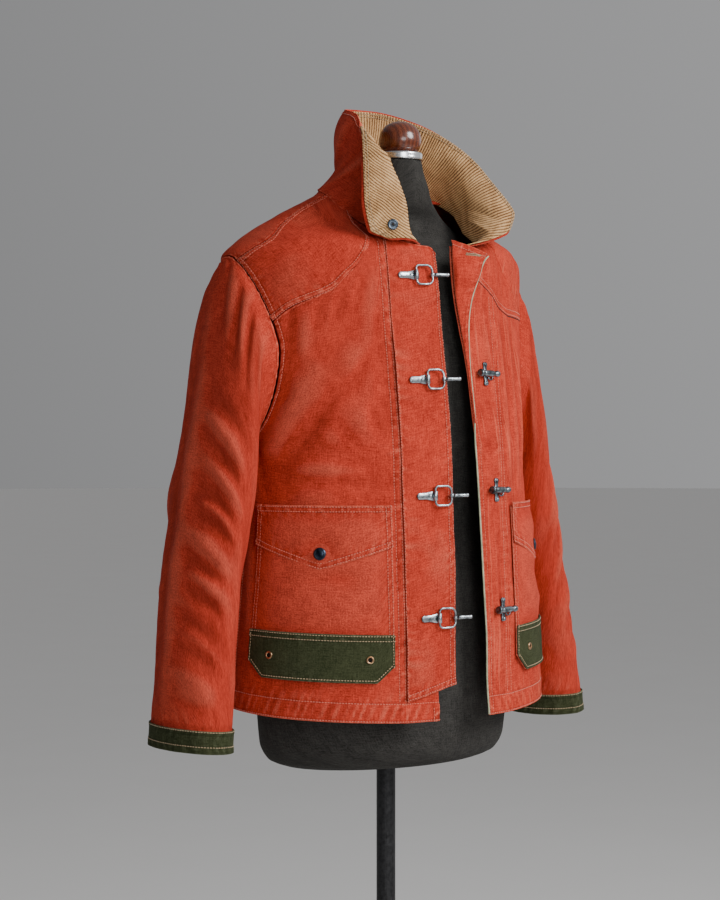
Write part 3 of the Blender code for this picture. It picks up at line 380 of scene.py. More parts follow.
def between(table, row, column):
    """A table's value between its rows and columns."""
    i = np.clip(np.floor(row).astype(int), 0, table.shape[0] - 2)
    j = np.clip(np.floor(column).astype(int), 0, table.shape[1] - 2)
    u, v = row - i, column - j
    return ((1 - u) * ((1 - v) * table[i, j] + v * table[i, j + 1])
            + u * ((1 - v) * table[i + 1, j] + v * table[i + 1, j + 1]))


def level(z):
    return (np.asarray(z, float) - LEVELS[0]) / (LEVELS[1] - LEVELS[0])


def girth(t, z):
    """How far along the cloth from the centre front."""
    return between(GIRTHS, level(z), np.asarray(t, float) / math.pi * 360)


def half_girth(z):
    return np.interp(z, LEVELS, GIRTHS[:, -1])


def turn(g, z):
    return between(TURN_AT, level(z), np.clip(g / half_girth(z), 0, 1) * 360)


def shell(g, z, side):
    """Points and outward directions of the body's outer face at (g, z) on one side."""
    g, z = np.broadcast_arrays(np.asarray(g, float), np.asarray(z, float))
    t = np.sign(g) * turn(np.abs(g), z)
    across = oval(t + 1e-3, z) - oval(t - 1e-3, z)
    up = oval(t, z + 2e-4) - oval(t, z - 2e-4)
    flip = np.array([side, 1.0, 1.0])
    return oval(t, z) * flip, unit(np.cross(across, up)) * flip


def armhole(phi):
    """A point of the armhole's seam line as (g, z): 0 at the top, 90 in front, 180 below."""
    phi = np.radians(phi)
    y = ARMHOLE_Y - ARMHOLE_D * (1 - 0.25 * np.maximum(np.cos(phi), 0)) * np.sin(phi)
    z = ARMHOLE_Z + ARMHOLE_H * np.cos(phi)
    mid, front, back, square = (through(BODY[:, 0], BODY[:, k], z) for k in range(2, 6))
    depth = np.where(y < mid, front, back)
    share = np.clip(np.abs(y - mid) / depth, 0, 1) ** (square / 2)
    t = np.where(y < mid, np.arccos(share), math.pi - np.arccos(share))
    return np.stack([girth(t, z), z], -1)


def neckline(t):
    """A point of the neckline as (g, z), t in degrees from the centre front."""
    z = through(NECKLINE[:, 0], NECKLINE[:, 1], t)
    return np.stack([girth(np.radians(t), z), z], -1)


def neck_angle(x):
    """Where the neckline is this far across, in degrees from the centre front."""
    t = np.linspace(0, 40, 401)
    at = neckline(t)
    return float(np.interp(x, np.abs(shell(at[:, 0], at[:, 1], 1)[0][:, 0]), t))


def left_edge(z):
    return through(LEFT_EDGE[:, 0], LEFT_EDGE[:, 1], z)


# ---------------------------------------------------------------- relief of sewn cloth

EDGE_STEPS = (0.0, 0.0003, 0.0007, 0.0012)  # close rows at a piece's rim, which round it


def graded(length, step=0.0045, near=0.0016, zone=0.014, ends=(True, True)):
    """Shares from 0 to 1 along a length, closer together near its sewn ends."""
    def end(on):
        return np.concatenate([EDGE_STEPS, np.arange(0.0024, zone, near)]) if on else np.array([0.0])
    low, high = end(ends[0]), length - end(ends[1])[::-1]
    inner = np.linspace(low[-1], high[0], max(3, int((high[0] - low[-1]) / step) + 1))[1:-1]
    return np.concatenate([low, inner, high]) / length


def runs(points, axis):
    """Distances along the grid's lines from their first point."""
    step = np.linalg.norm(np.diff(points, axis=axis), axis=2)
    pad = [(0, 0), (0, 0)]
    pad[axis] = (1, 0)
    return np.pad(np.cumsum(step, axis=axis), pad)


def borders(points):
    """For each border of a grid: (distance from it, distance along it) at every point."""
    up, across = runs(points, 0), runs(points, 1)
    return {"bottom": (up, across), "top": (up[-1:] - up, across),
            "left": (across, up), "right": (across[:, -1:] - across, up)}


def uneven(s, pitch, seed):
    """A wave along a seam whose length and height wander."""
    turns = 2 * math.pi * s / pitch
    return np.sin(turns + 1.6 * np.sin(turns / 5.3 + seed) + seed * 2.1) * (
        0.62 + 0.38 * np.sin(turns / 3.1 + 1.7 * seed))


def hump(x):
    return np.sin(math.pi * np.clip(x, 0, 1)) ** 2


def sewn(d, s, rows, puff=0.0007, pucker=0.0004, pitch=0.0095, seed=1.0, rim=False):
    """Height of the cloth beside a seam or a folded edge stitched at these distances, and its paleness
    from rubbing together with painted shade.
    """
    far = max(rows)
    ripple = uneven(s + 0.45 * d, pitch, seed)
    reach = np.exp(-((d - 0.55 * far) / (0.55 * far + 0.003)) ** 2)
    puffed = np.clip(1.15 - d / far, 0, 1) ** 0.4 * (d < far * 1.15) if rim else hump(d / (far * 1.06))
    height = puff * puffed + pucker * reach * ripple
    # Pucker ridges are rubbed pale, with painted shade in their troughs.
    wear = reach * np.where(ripple > 0, 0.34, 0.42) * ripple
    # Painted shade along each stitch row's dip.
    for row in rows:
        near = np.exp(-((d - row) / 0.001) ** 2)
        height, wear = height - 0.00042 * near, wear - 0.3 * near
    crease = np.exp(-(d / 0.0011) ** 2)
    if rim:
        return np.stack([height, wear + 0.3 * crease])
    # Painted shade in a plain seam's crease, beside a ridge rubbed pale.
    rubbed = 0.42 * np.exp(-((d - 0.0026) / 0.0009) ** 2)
    return np.stack([height - 0.0006 * crease, wear - crease + rubbed])


def beside(edge, *seams):
    """The relief of several borders' seams together: rows are (border, and what sewn is given)."""
    return sum(sewn(*edge[which], *rest) for which, *rest in seams)


def folds(a, b, table):
    """Height of the soft folds at places (a, b) on a piece."""
    height = np.zeros(np.broadcast(a, b).shape)
    for a0, b0, a1, b1, width, high, bow in table:
        da, db = a1 - a0, b1 - b0
        length = math.hypot(da, db)
        t = ((a - a0) * da + (b - b0) * db) / length ** 2
        off = ((a - a0) * -db + (b - b0) * da) / length - bow * 4 * t * (1 - t)
        ends = np.clip(np.sin(math.pi * np.clip(t * 0.9 + 0.05, 0, 1)), 0, 1) ** 0.8
        ends = ends * (t > -0.05) * (t < 1.05)
        wide = width * (0.8 + 0.4 * np.clip(t, 0, 1))
        side = np.exp(-((off - 2.0 * wide) / (1.3 * wide)) ** 2)
        height += high * ends * (np.exp(-np.abs(off / wide) ** 1.5) - 0.35 * side)
    return height


def slack(a, b, seed, size=0.0007):
    """Low, wide unevenness of washed cloth, and a finer crumple on it in patches."""
    waves = ((61, 23, 0.5), (37, -52, 0.6), (-24, 78, 0.4), (96, 41, 0.28), (70, -101, 0.25), (141, 88, 0.14))
    wide = sum(k * np.sin(2 * math.pi * (p * a + q * b) / 9 + seed * (n + 1.3))
               for n, (p, q, k) in enumerate(waves))
    chance = np.random.default_rng(int(seed * 10) + 50)
    fine = np.zeros(np.broadcast(a, b).shape)
    for _ in range(16):
        way, turns = chance.uniform(0, math.pi), 2 * math.pi / chance.uniform(0.015, 0.045)
        along = a * math.cos(way) + b * math.sin(way)
        fine = fine + np.sin(turns * along + chance.uniform(0, 6)) * 0.25
    patchy = 0.55 + 0.45 * np.sin(38 * a + seed) * np.sin(31 * b + 2 * seed)
    return size * wide + 0.00034 * fine * patchy


# ---------------------------------------------------------------- meshes

MATERIALS = {}
ON_FORM = "hung", "form_torso"  # how most sheets are held, and by what
INNER_RELIEF = 0.8  # how much of the outer face's relief the inner one has
THREAD_ON = {"canvas_red": "thread_red", "canvas_green": "thread_tan", "corduroy_tan": "thread_tan"}


def mesh_object(name, points, faces, material, uvs=None, **values):
    mesh = bpy.data.meshes.new(name)
    mesh.from_pydata(np.asarray(points).tolist(), [], [list(map(int, f)) for f in faces])
    mesh.update()
    mesh.polygons.foreach_set("use_smooth", np.ones(len(mesh.polygons), bool))
    if uvs is not None:
        corner = np.empty(len(mesh.loops), np.int32)
        mesh.loops.foreach_get("vertex_index", corner)
        mesh.uv_layers.new(name="cloth").data.foreach_set("uv", np.asarray(uvs, np.float32)[corner].ravel())
    for key, value in values.items():
        mesh.attributes.new(key, "FLOAT", "POINT").data.foreach_set("value", np.asarray(value, np.float32))
    mesh.materials.append(MATERIALS[material])
    obj = bpy.data.objects.new(name, mesh)
    bpy.context.scene.collection.objects.link(obj)
    return obj


def place(obj, body=ROOT, stands_for=()):
    """The piece rides on its body and stands for its solids."""
    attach(obj, body)
    if stands_for:
        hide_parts(*stands_for)


def grid_faces(rows, columns, offset=0):
    index = np.arange(rows * columns).reshape(rows, columns) + offset
    return np.stack([index[:-1, :-1], index[:-1, 1:], index[1:, 1:], index[1:, :-1]], -1).reshape(-1, 4)


def met(table, reach=10):
    """A tube's table whose last columns are eased into its first one."""
    share = np.linspace(0, 1, reach).reshape((1, reach) + (1,) * (table.ndim - 2))
    last, miss = table[:, -reach:], table[:, :1] - table[:, -1:]
    return np.concatenate([table[:, :-reach], mix(last, last + miss, share)], axis=1)


def cloth(name, points, outs, material, faces_at, sewing, relief, held, *rests_on, loop=False, rim=0.001,
          relief_shading=0.16, **values):
    """A closed cloth wall on a grid: its inner and its outer face at these
    heights above the grid, both following the relief, with a rounded rim. Returns the object and
    its outer grid."""
    rows, columns = points.shape[:2]
    grid, (low, high) = points, faces_at
    # Painted highlight on the relief's tops and painted shade in its troughs, added to the sewing's rubbing and
    # painted shade.
    wear = sewing[1] + relief_shading * np.clip(relief / 0.0022, -1.6, 1)
    relief = sewing[0] + relief
    if loop:
        points, outs, relief, wear = (met(table) for table in (points, outs, relief, wear))
    border = borders(points)
    near = np.minimum(border["bottom"][0], border["top"][0])
    if not loop:
        near = np.minimum(near, np.minimum(border["left"][0], border["right"][0]))
    round_off = 1 - np.sqrt(np.clip(1 - (1 - np.clip(near / rim, 0, 1)) ** 2, 0, 1))
    half = (high - low) / 2
    outer = points + outs * (high + relief - half * round_off)[..., None]
    sunk = low + np.minimum(relief * INNER_RELIEF, relief) + half * round_off * 0.9
    inner = points + outs * sunk[..., None]
    count = rows * columns
    faces = grid_faces(rows, columns)
    a, b, c = (outer.reshape(-1, 3)[faces[len(faces) // 2][k]] for k in (0, 1, 2))
    flip = np.dot(np.cross(b - a, c - b), outs.reshape(-1, 3)[faces[len(faces) // 2][0]]) < 0
    index = np.arange(count).reshape(rows, columns)
    edges = [index[0], index[-1][::-1]]
    if not loop:
        edges = [np.concatenate([index[0], index[1:, -1], index[-1, -2::-1], index[-2::-1, 0]])]
    walls = []
    for line in edges:
        walls += [(q, p, p + count, q + count) for p, q in zip(line[:-1], line[1:])]
    faces = np.concatenate([faces, faces[:, ::-1] + count, np.array(walls)])
    if flip:
        faces = faces[:, ::-1]
    across, middle = runs(points, 1), columns // 2
    uvs = np.stack([across - across[:, middle:middle + 1], runs(points, 0)], -1).reshape(-1, 2)
    # The rounded rims are rubbed pale.
    wear_and_light = np.clip(wear + 0.42 * round_off, -1, 1)
    obj = mesh_object(name, np.concatenate([outer.reshape(-1, 3), inner.reshape(-1, 3)]), faces, material,
                      np.concatenate([uvs, uvs]), wear=np.concatenate([wear_and_light.ravel(), np.zeros(count)]),
                      **{key: np.tile(np.ravel(value), 2) for key, value in values.items()})
    if loop:
        close_seam(obj)
    place(obj, stands_for=[name])
    declare(grid)
    return obj, outer


def close_seam(obj):
    """Joins a tube's first and last columns, which lie on each other."""
    work = bmesh.new()
    work.from_mesh(obj.data)
    bmesh.ops.remove_doubles(work, verts=work.verts, dist=1e-6)
    work.to_mesh(obj.data)
    work.free()


def flat_size(points):
    """Width, length and area of a piece's cut, before any fold."""
    low, high = points[:-1], points[1:]
    a = np.linalg.norm(np.cross(high[:, :-1] - low[:, :-1], low[:, 1:] - low[:, :-1]), axis=2)
    b = np.linalg.norm(np.cross(high[:, :-1] - high[:, 1:], low[:, 1:] - high[:, 1:]), axis=2)
    return float(runs(points, 1)[:, -1].max()), float(runs(points, 0)[-1].max()), float((a + b).sum() / 2)


def declare(points):
    width, length, area = flat_size(points)
    width, length = round(width, 3), round(length, 3)


def contour(outer, which, distance):
    """The line on a piece's outer face at a distance from one of its borders."""
    d, _ = borders(outer)[which]
    lines, reach = (outer, d) if which in ("left", "right") else (outer.transpose(1, 0, 2), d.T)
    found = []
    for line, away in zip(lines, reach):
        order = np.argsort(away)
        if away.max() > distance:
            found.append([np.interp(distance, away[order], line[order, k]) for k in range(3)])
    return np.array(found)


def rows_on(outer, **rows):
    """Lines on a piece's outer face beside its borders, for its rows of stitches."""
    return [contour(outer, which, d) for which, distances in rows.items() for d in distances]


def resample(path, pitch):
    run = np.concatenate([[0], np.cumsum(np.linalg.norm(np.diff(path, axis=0), axis=1))])
    at = np.arange(pitch / 2, run[-1], pitch)
    return np.stack([np.interp(at, run, path[:, k]) for k in range(3)], -1)


STITCH = 0.0036  # from one stitch to the next
RANDOM = np.random.default_rng(7)


def stitches(name, target, paths, slot, thread=None, pitch=STITCH, width=0.00044, lift=0.00014):
    """Lockstitches along lines on a piece, one mesh."""
    tree = BVHTree.FromObject(target, bpy.context.evaluated_depsgraph_get())
    shares, sizes = (-0.5, -0.27, 0.27, 0.5), (0.35, 1.0, 1.0, 0.35)
    points, faces = [], []
    for path in paths:
        middle = resample(np.asarray(path), pitch)
        if len(middle) < 3:
            continue
        along = unit(np.gradient(middle, axis=0))
        for p, t in zip(middle, along):
            spot, normal, _, far = tree.find_nearest(Vector(p))
            if spot is None or far > 0.006:
                continue
            n = np.array(normal)
            if np.dot(n, np.array(p) - np.array(spot)) < -0.0008:
                n = -n
            t = unit(t - n * np.dot(t, n) + np.cross(n, t) * RANDOM.normal(0, 0.05))
            side = np.cross(n, t)
            start = len(points)
            length = pitch * 0.8 * (1 + RANDOM.normal(0, 0.04))
            for share, size in zip(shares, sizes):
                up = lift if abs(share) < 0.4 else -0.0002
                middle_at = np.array(spot) + t * length * share + n * up
                for a, b in ((1, 0), (0, 1), (-1, 0), (0, -1)):
                    points.append(middle_at + (side * a * width * 1.25 + n * b * width) * size)
            for ring in range(3):
                for j in range(4):
                    i0, i1 = start + ring * 4 + j, start + ring * 4 + (j + 1) % 4
                    faces.append((i0, i1, i1 + 4, i0 + 4))
            faces.append((start + 3, start + 2, start + 1, start))
            faces.append((start + 12, start + 13, start + 14, start + 15))
    place(mesh_object(name, points, faces, thread or THREAD_ON[slot]))


def hard(name, solid, material, body=ROOT, detail=False):
    """A hard piece from its (points, faces); a detail stands for no solid."""
    place(mesh_object(name, *solid, material), body, () if detail else [name])


def lathe(profile, origin, axis, sides=32):
    """Points and faces of a turned solid: profile rows are (radius, height along the axis)."""
    axis = unit(np.asarray(axis, float))
    other = np.array([0, 0, 1.0]) if abs(axis[2]) < 0.9 else np.array([1.0, 0, 0])
    one = unit(np.cross(other, axis))
    two = np.cross(axis, one)
    angle = np.arange(sides) * 2 * math.pi / sides
    ring = np.cos(angle)[:, None] * one + np.sin(angle)[:, None] * two
    points = np.concatenate([np.asarray(origin) + axis * h + r * ring for r, h in profile])
    faces = []
    for i in range(len(profile) - 1):
        for j in range(sides):
            a, b = i * sides + j, i * sides + (j + 1) % sides
            faces.append((a, b, b + sides, a + sides))
    faces.append(tuple(range(sides))[::-1])
    faces.append(tuple(range((len(profile) - 1) * sides, len(profile) * sides)))
    return points, faces


def arc_profile(rows, steps=4):
    """A turned profile with rounded corners between its rows."""
    rows = np.asarray(rows, float)
    smooth = [rows[0]]
    for before, here, after in zip(rows[:-2], rows[1:-1], rows[2:]):
        a, b = mix(here, before, 0.35), mix(here, after, 0.35)
        for t in np.linspace(0, 1, steps):
            smooth.append((1 - t) ** 2 * a + 2 * t * (1 - t) * here + t * t * b)
    smooth.append(rows[-1])
    return smooth


def joined(parts):
    """Several (points, faces) as one."""
    points, faces, start = [], [], 0
    for some, sides in parts:
        points.append(np.asarray(some, float))
        faces += [tuple(int(v) + start for v in face) for face in sides]
        start += len(some)
    return np.concatenate(points), faces


def circle(middle, one, two, radius, count):
    """Points round a middle in the plane of two directions."""
    return [middle + radius * (math.cos(a) * one + math.sin(a) * two)
            for a in np.arange(count) * 2 * math.pi / count]


def tube(rings, closed=True):
    rings = np.asarray(rings, float)
    count, around = rings.shape[:2]
    faces = []
    for i in range(count if closed else count - 1):
        for j in range(around):
            k = (j + 1) % around
            n = (i + 1) % count
            faces.append((i * around + j, i * around + k, n * around + k, n * around + j))
    if not closed:
        faces.append(tuple(range(around))[::-1])
        faces.append(tuple(range((count - 1) * around, count * around)))
    return rings.reshape(-1, 3), faces


# ---------------------------------------------------------------- materials

class Nodes:
    """Short calls for building a material's nodes."""

    def __init__(self, name):
        self.material = bpy.data.materials.new(name)
        self.material.use_nodes = True
        self.tree = self.material.node_tree
        self.shader = self.tree.nodes["Principled BSDF"]
        MATERIALS[name] = self.material

    def add(self, kind, inputs=(), **settings):
        node = self.tree.nodes.new(kind)
        for key, value in settings.items():
            setattr(node, key, value)
        for key, value in dict(inputs).items():
            self.set(node.inputs[key], value)
        return node

    def set(self, socket, value):
        if isinstance(value, bpy.types.NodeSocket):
            self.tree.links.new(value, socket)
        else:
            socket.default_value = value

    def math(self, operation, a, b=0.0, clamp=False):
        return self.add("ShaderNodeMath", {0: a, 1: b}, operation=operation, use_clamp=clamp).outputs[0]

    def blend(self, share, a, b):
        node = self.add("ShaderNodeMix", data_type="RGBA", blend_type="MIX")
        self.set(node.inputs[0], share)
        for socket, value in ((node.inputs[6], a), (node.inputs[7], b)):
            self.set(socket, (*value, 1) if isinstance(value, tuple) else value)
        return node.outputs[2]

    def noise(self, where, scale, detail=3.0, rough=0.55, distortion=0.0):
        return self.add("ShaderNodeTexNoise", {"Vector": where, "Scale": scale, "Detail": detail,
                                               "Roughness": rough, "Distortion": distortion}).outputs["Fac"]

    def wave(self, where, period, direction="X", distortion=0.0, detail_scale=1.0):
        return self.add("ShaderNodeTexWave", {"Vector": where, "Scale": math.pi / 10 / period,
                                              "Distortion": distortion, "Detail": 2.0,
                                              "Detail Scale": detail_scale}, wave_type="BANDS",
                        bands_direction=direction).outputs["Fac"]

    def span(self, value, low, high, to_low=0.0, to_high=1.0):
        return self.add("ShaderNodeMapRange", {"Value": value, "From Min": low, "From Max": high,
                                               "To Min": to_low, "To Max": to_high}).outputs[0]

    def swing(self, value, reach, low=0.3, high=0.7):
        """A value that moves by this much to both sides."""
        return self.span(value, low, high, -reach, reach)

    def bump(self, height, distance, strength=1.0, normal=None):
        node = self.add("ShaderNodeBump", {"Height": height, "Distance": distance, "Strength": strength})
        if normal is not None:
            self.set(node.inputs["Normal"], normal)
        return node.outputs[0]

    def uv(self, stretch=(1, 1, 1)):
        source = self.add("ShaderNodeUVMap", uv_map="cloth").outputs[0]
        if stretch == (1, 1, 1):
            return source
        return self.add("ShaderNodeMapping", {"Vector": source, "Scale": stretch}).outputs[0]

    def place(self, stretch=(1, 1, 1)):
        source = self.add("ShaderNodeTexCoord").outputs["Object"]
        return self.add("ShaderNodeMapping", {"Vector": source, "Scale": stretch}).outputs[0]

    def attribute(self, name):
        return self.add("ShaderNodeAttribute", attribute_name=name).outputs["Fac"]

    def finish(self, **sockets):
        for key, value in sockets.items():
            self.set(self.shader.inputs[key.replace("_", " ")], value)


def canvas(name, deep, main, wear_and_light, warp=0.0011, weft=0.0009, tint=(1, 1, 1), streaks=0.0):
    """Washed canvas: yarn grain, mottled dye, seams and rims rubbed pale, painted highlight on the
    folds' tops, and painted shade in creases, stitch rows and the folds' troughs.
    """
    n = Nodes(name)
    uv = n.uv()
    mottle, cloud = n.noise(uv, 24.0, 6.0, 0.62), n.noise(uv, 6.0, 3.0, 0.5)
    crumple, speck = n.noise(uv, 80.0, 4.0, 0.62), n.noise(uv, 520.0, 3.0, 0.7)
    slub_x = n.noise(n.uv((60, 620, 1)), 1.0, 3.0, 0.6)
    slub_y = n.noise(n.uv((620, 60, 1)), 1.0, 3.0, 0.6)
    yarn = n.math("MULTIPLY", n.wave(uv, warp, "X", 1.2, 300.0), n.wave(uv, weft, "Y", 1.2, 300.0))
    tone = n.swing(mottle, 0.13)
    for value, *rest in ((cloud, 0.09), (speck, 0.44), (crumple, 0.14),
                         (n.math("ADD", slub_x, slub_y), 0.34, 0.7, 1.3), (yarn, 0.14, 0.0, 1.0)):
        tone = n.math("ADD", tone, n.swing(value, *rest))
    wear = n.attribute("wear")
    shade = n.math("ADD", tone, 0.55, clamp=True)
    colour = n.blend(shade, deep, main)
    # pale carries rubbing and painted highlight; sunk carries painted shade.
    pale, sunk = n.math("MAXIMUM", wear, 0.0), n.math("MAXIMUM", n.math("MULTIPLY", wear, -1.0), 0.0)
    ragged = n.math("MULTIPLY", pale, n.span(speck, 0.32, 0.62, 0.35, 1.25), clamp=True)
    colour = n.blend(ragged, colour, wear_and_light)
    # Painted shade: the sunk places darken toward a deep shade of the dye.
    colour = n.blend(n.math("MULTIPLY", sunk, 0.85, clamp=True), colour, tuple(v * 0.38 for v in deep))
    if streaks:
        line = n.noise(n.uv((300, 7, 1)), 1.0, 2.0, 0.5, 0.9)
        streak = n.math("MULTIPLY", n.span(line, 0.585, 0.68), streaks, clamp=True)
        colour = n.blend(streak, colour, wear_and_light)
    grain = n.math("ADD", yarn, n.math("MULTIPLY", n.math("ADD", slub_x, slub_y), 0.9))
    normal = n.bump(grain, 0.00026, 0.9)
    normal = n.bump(crumple, 0.0011, 0.55, normal)
    normal = n.bump(mottle, 0.0018, 0.45, normal)
    n.finish(Base_Color=colour, Roughness=n.span(speck, 0.3, 0.7, 0.8, 0.96), Normal=normal,
             Sheen_Weight=0.02, Sheen_Roughness=0.45, Sheen_Tint=(*tint, 1), Specular_IOR_Level=0.05)


def corduroy(name, groove_shade, main, crest_rubbed_and_lit):
    """Cut pile in wales: their tops rubbed pale with painted highlight, and narrow painted shade in
    the grooves between them.
    """
    n = Nodes(name)
    uv = n.uv()
    pile = n.noise(n.uv((700, 420, 1)), 1.0, 4.0, 0.65)
    patch = n.noise(uv, 34.0, 4.0, 0.6)
    turns = n.math("MULTIPLY", n.attribute("wale"), 2 * math.pi)
    wave = n.math("POWER", n.span(n.math("COSINE", turns), -1, 1), 0.55)
    share = n.math("ADD", n.math("ADD", wave, n.swing(pile, 0.32)), n.swing(patch, 0.26))
    share = n.math("ADD", share, n.math("MULTIPLY", n.attribute("wear"), 0.4))
    # The grooves take a painted shade colour, the wales' tops a colour rubbed pale and painted lit.
    low = n.blend(n.span(share, 0.1, 0.62), groove_shade, main)
    colour = n.blend(n.span(share, 0.72, 1.25), low, crest_rubbed_and_lit)
    normal = n.bump(pile, 0.0004, 0.7)
    normal = n.bump(wave, 0.0007, 0.7, normal)
    n.finish(Base_Color=colour, Roughness=n.span(pile, 0.3, 0.7, 0.82, 0.96), Normal=normal,
             Sheen_Weight=0.12, Sheen_Roughness=0.35, Sheen_Tint=(1.0, 0.8, 0.55, 1),
             Specular_IOR_Level=0.15)


def thread(name, colour):
    n = Nodes(name)
    twist = n.wave(n.place((1, 1, 1)), 0.0009, "DIAGONAL", 0.8, 100.0)
    tone = n.blend(n.span(n.noise(n.place(), 180.0), 0.35, 0.65), tuple(c * 0.72 for c in colour), colour)
    n.finish(Base_Color=tone, Roughness=n.span(twist, 0, 1, 0.55, 0.75), Normal=n.bump(twist, 0.0001, 0.5),
             Sheen_Weight=0.3)


def metal(name, dark, bright, rough=(0.22, 0.46), stretch=(1, 1, 1), grain=260.0):
    """Worn plated metal: fine drawn lines, dull patches and rubbed spots."""
    n = Nodes(name)
    lines = n.noise(n.place(stretch), grain, 4.0, 0.7)
    patch = n.noise(n.place(), 130.0, 5.0, 0.6)
    colour = n.blend(n.span(patch, 0.35, 0.62), dark, bright)
    shine = n.math("ADD", n.span(patch, 0.35, 0.65, rough[1], rough[0]), n.swing(lines, 0.06))
    n.finish(Base_Color=colour, Metallic=1.0, Roughness=shine, Normal=n.bump(lines, 0.00006, 0.5))


def make_materials():
    red = (0.265, 0.018, 0.01), (0.65, 0.07, 0.038), (0.86, 0.27, 0.17)
    warm = (1.0, 0.55, 0.42)
    canvas("canvas_red", *red, tint=warm)
    canvas("canvas_streaked", *red[:2], (0.82, 0.2, 0.115), tint=warm, streaks=0.3)
    canvas("canvas_green", (0.019, 0.024, 0.01), (0.06, 0.066, 0.032), (0.17, 0.18, 0.11),
           tint=(0.9, 0.9, 0.7))
    corduroy("corduroy_tan", (0.11, 0.046, 0.017), (0.46, 0.25, 0.105), (0.72, 0.46, 0.23))
    thread("thread_red", (0.66, 0.15, 0.085))
    thread("thread_tan", (0.47, 0.33, 0.18))
    metal("steel_clasp", (0.08, 0.092, 0.1), (0.45, 0.49, 0.52))
    metal("gunmetal", (0.05, 0.062, 0.07), (0.3, 0.36, 0.4), rough=(0.2, 0.4))
    metal("snap_dark", (0.01, 0.014, 0.024), (0.06, 0.08, 0.115), rough=(0.26, 0.44))
    metal("snap_steel", (0.032, 0.04, 0.052), (0.105, 0.13, 0.16), rough=(0.28, 0.44))
    metal("eyelet_brass", (0.2, 0.1, 0.045), (0.66, 0.42, 0.24))
    metal("ring_metal", (0.42, 0.43, 0.44), (0.8, 0.81, 0.82), rough=(0.2, 0.34), stretch=(1, 1, 14),
          grain=60.0)
    canvas("form_cloth", (0.018, 0.017, 0.016), (0.06, 0.057, 0.052), (0.1, 0.1, 0.09),
           warp=0.0007, weft=0.0007)
    n = Nodes("edge_tape")
    tone = n.blend(n.span(n.noise(n.place(), 90.0), 0.35, 0.65), (0.22, 0.27, 0.17), (0.46, 0.46, 0.3))
    n.finish(Base_Color=tone, Roughness=0.8, Normal=n.bump(n.noise(n.place(), 900.0), 0.0002, 0.6))
    n = Nodes("shadow")
    tone = n.blend(n.noise(n.place(), 300.0), (0.006, 0.004, 0.003), (0.02, 0.012, 0.01))
    n.finish(Base_Color=tone, Roughness=0.9)
    n = Nodes("knob_wood")
    rings = n.wave(n.place((1, 1, 0.35)), 0.0062, "X", 5.0, 40.0)
    pores = n.noise(n.place((1, 1, 0.08)), 900.0, 3.0, 0.6)
    share = n.math("MULTIPLY", rings, n.span(pores, 0.3, 0.7, 0.6, 1.0))
    n.finish(Base_Color=n.blend(share, (0.055, 0.009, 0.003), (0.17, 0.036, 0.01)),
             Roughness=n.span(pores, 0.3, 0.7, 0.22, 0.34), Coat_Weight=0.35, Coat_Roughness=0.07,
             Normal=n.bump(pores, 0.00008, 0.4))
    n = Nodes("stand_metal")
    cast = n.noise(n.place(), 220.0, 5.0, 0.65)
    tone = n.blend(n.span(cast, 0.35, 0.65), (0.012, 0.012, 0.013), (0.034, 0.034, 0.036))
    n.finish(Base_Color=tone, Metallic=0.7, Roughness=n.span(cast, 0.3, 0.7, 0.34, 0.52),
             Normal=n.bump(cast, 0.0003, 0.4))


make_materials()

# ---------------------------------------------------------------- body panels

SEAM_G = STORM_G[1]
SIDE_G = float(girth(SIDE_T, 1.05))
HEM_ROWS, FOLD_ROWS, EDGE_ROWS = (0.0022, 0.024), (0.0016, 0.0078), (0.002, 0.0085)
SEAM_ROW = (0.004,)  # the one row a plain seam is felled with
LEFT_SEAM = 0.15  # how much of the left yoke's real seam shows, under the drawn one
BODY_LOW = np.concatenate([HEM_Z + np.array(EDGE_STEPS), HEM_Z + np.arange(0.0024, 0.032, 0.0022),
                           np.arange(0.901, LOW_TOP_Z, 0.0045), [LOW_TOP_Z]])
RED_ON = {-1: "canvas_red", 1: "canvas_streaked"}
YOKE_LEFT = np.array((
    # where the left yoke's seam shows, as (g, z)
    (0.06, 1.418), (0.074, 1.41), (0.091, 1.398), (0.107, 1.384), (0.127, 1.3765), (0.175, 1.374),
    (0.228, 1.372),
))


def side_line(z):
    """The side seam as (g, z), raised toward the hem's side."""
    up = z + HEM_RISE * np.clip((POCKET_Z[1] - z) / (POCKET_Z[1] - HEM_Z), 0, 1)
    return np.stack([girth(np.full_like(up, SIDE_T), up), up], -1)


def on_front(g, z):
    """Where a place drawn on the front at (g, z) lies once the side seam is raised."""
    share = (g - SEAM_G) / (SIDE_G - SEAM_G)
    side = side_line(z)
    return mix(SEAM_G, side[..., 0], share), mix(z, side[..., 1], share)


def yoke_line(share):
    """The yoke's seam as (g, z), from the neckline to the armhole."""
    x, z = YOKE[:, 0], YOKE[:, 1]
    a, square = through(BODY[:, 0], BODY[:, 1], z), through(BODY[:, 0], BODY[:, 5], z)
    g = girth(np.arcsin(np.clip(x / a, 0, 1) ** (square / 2)), z)
    line = np.stack([g, z], -1)
    line[0] = neckline(neck_angle(NECK_CORNERS[1]))
    line[-1] = armhole(YOKE_PHI[0])
    run = np.concatenate([[0], np.cumsum(np.linalg.norm(np.diff(line, axis=0), axis=1))])
    return np.stack([through(run, line[:, k], share * run[-1]) for k in (0, 1)], -1)


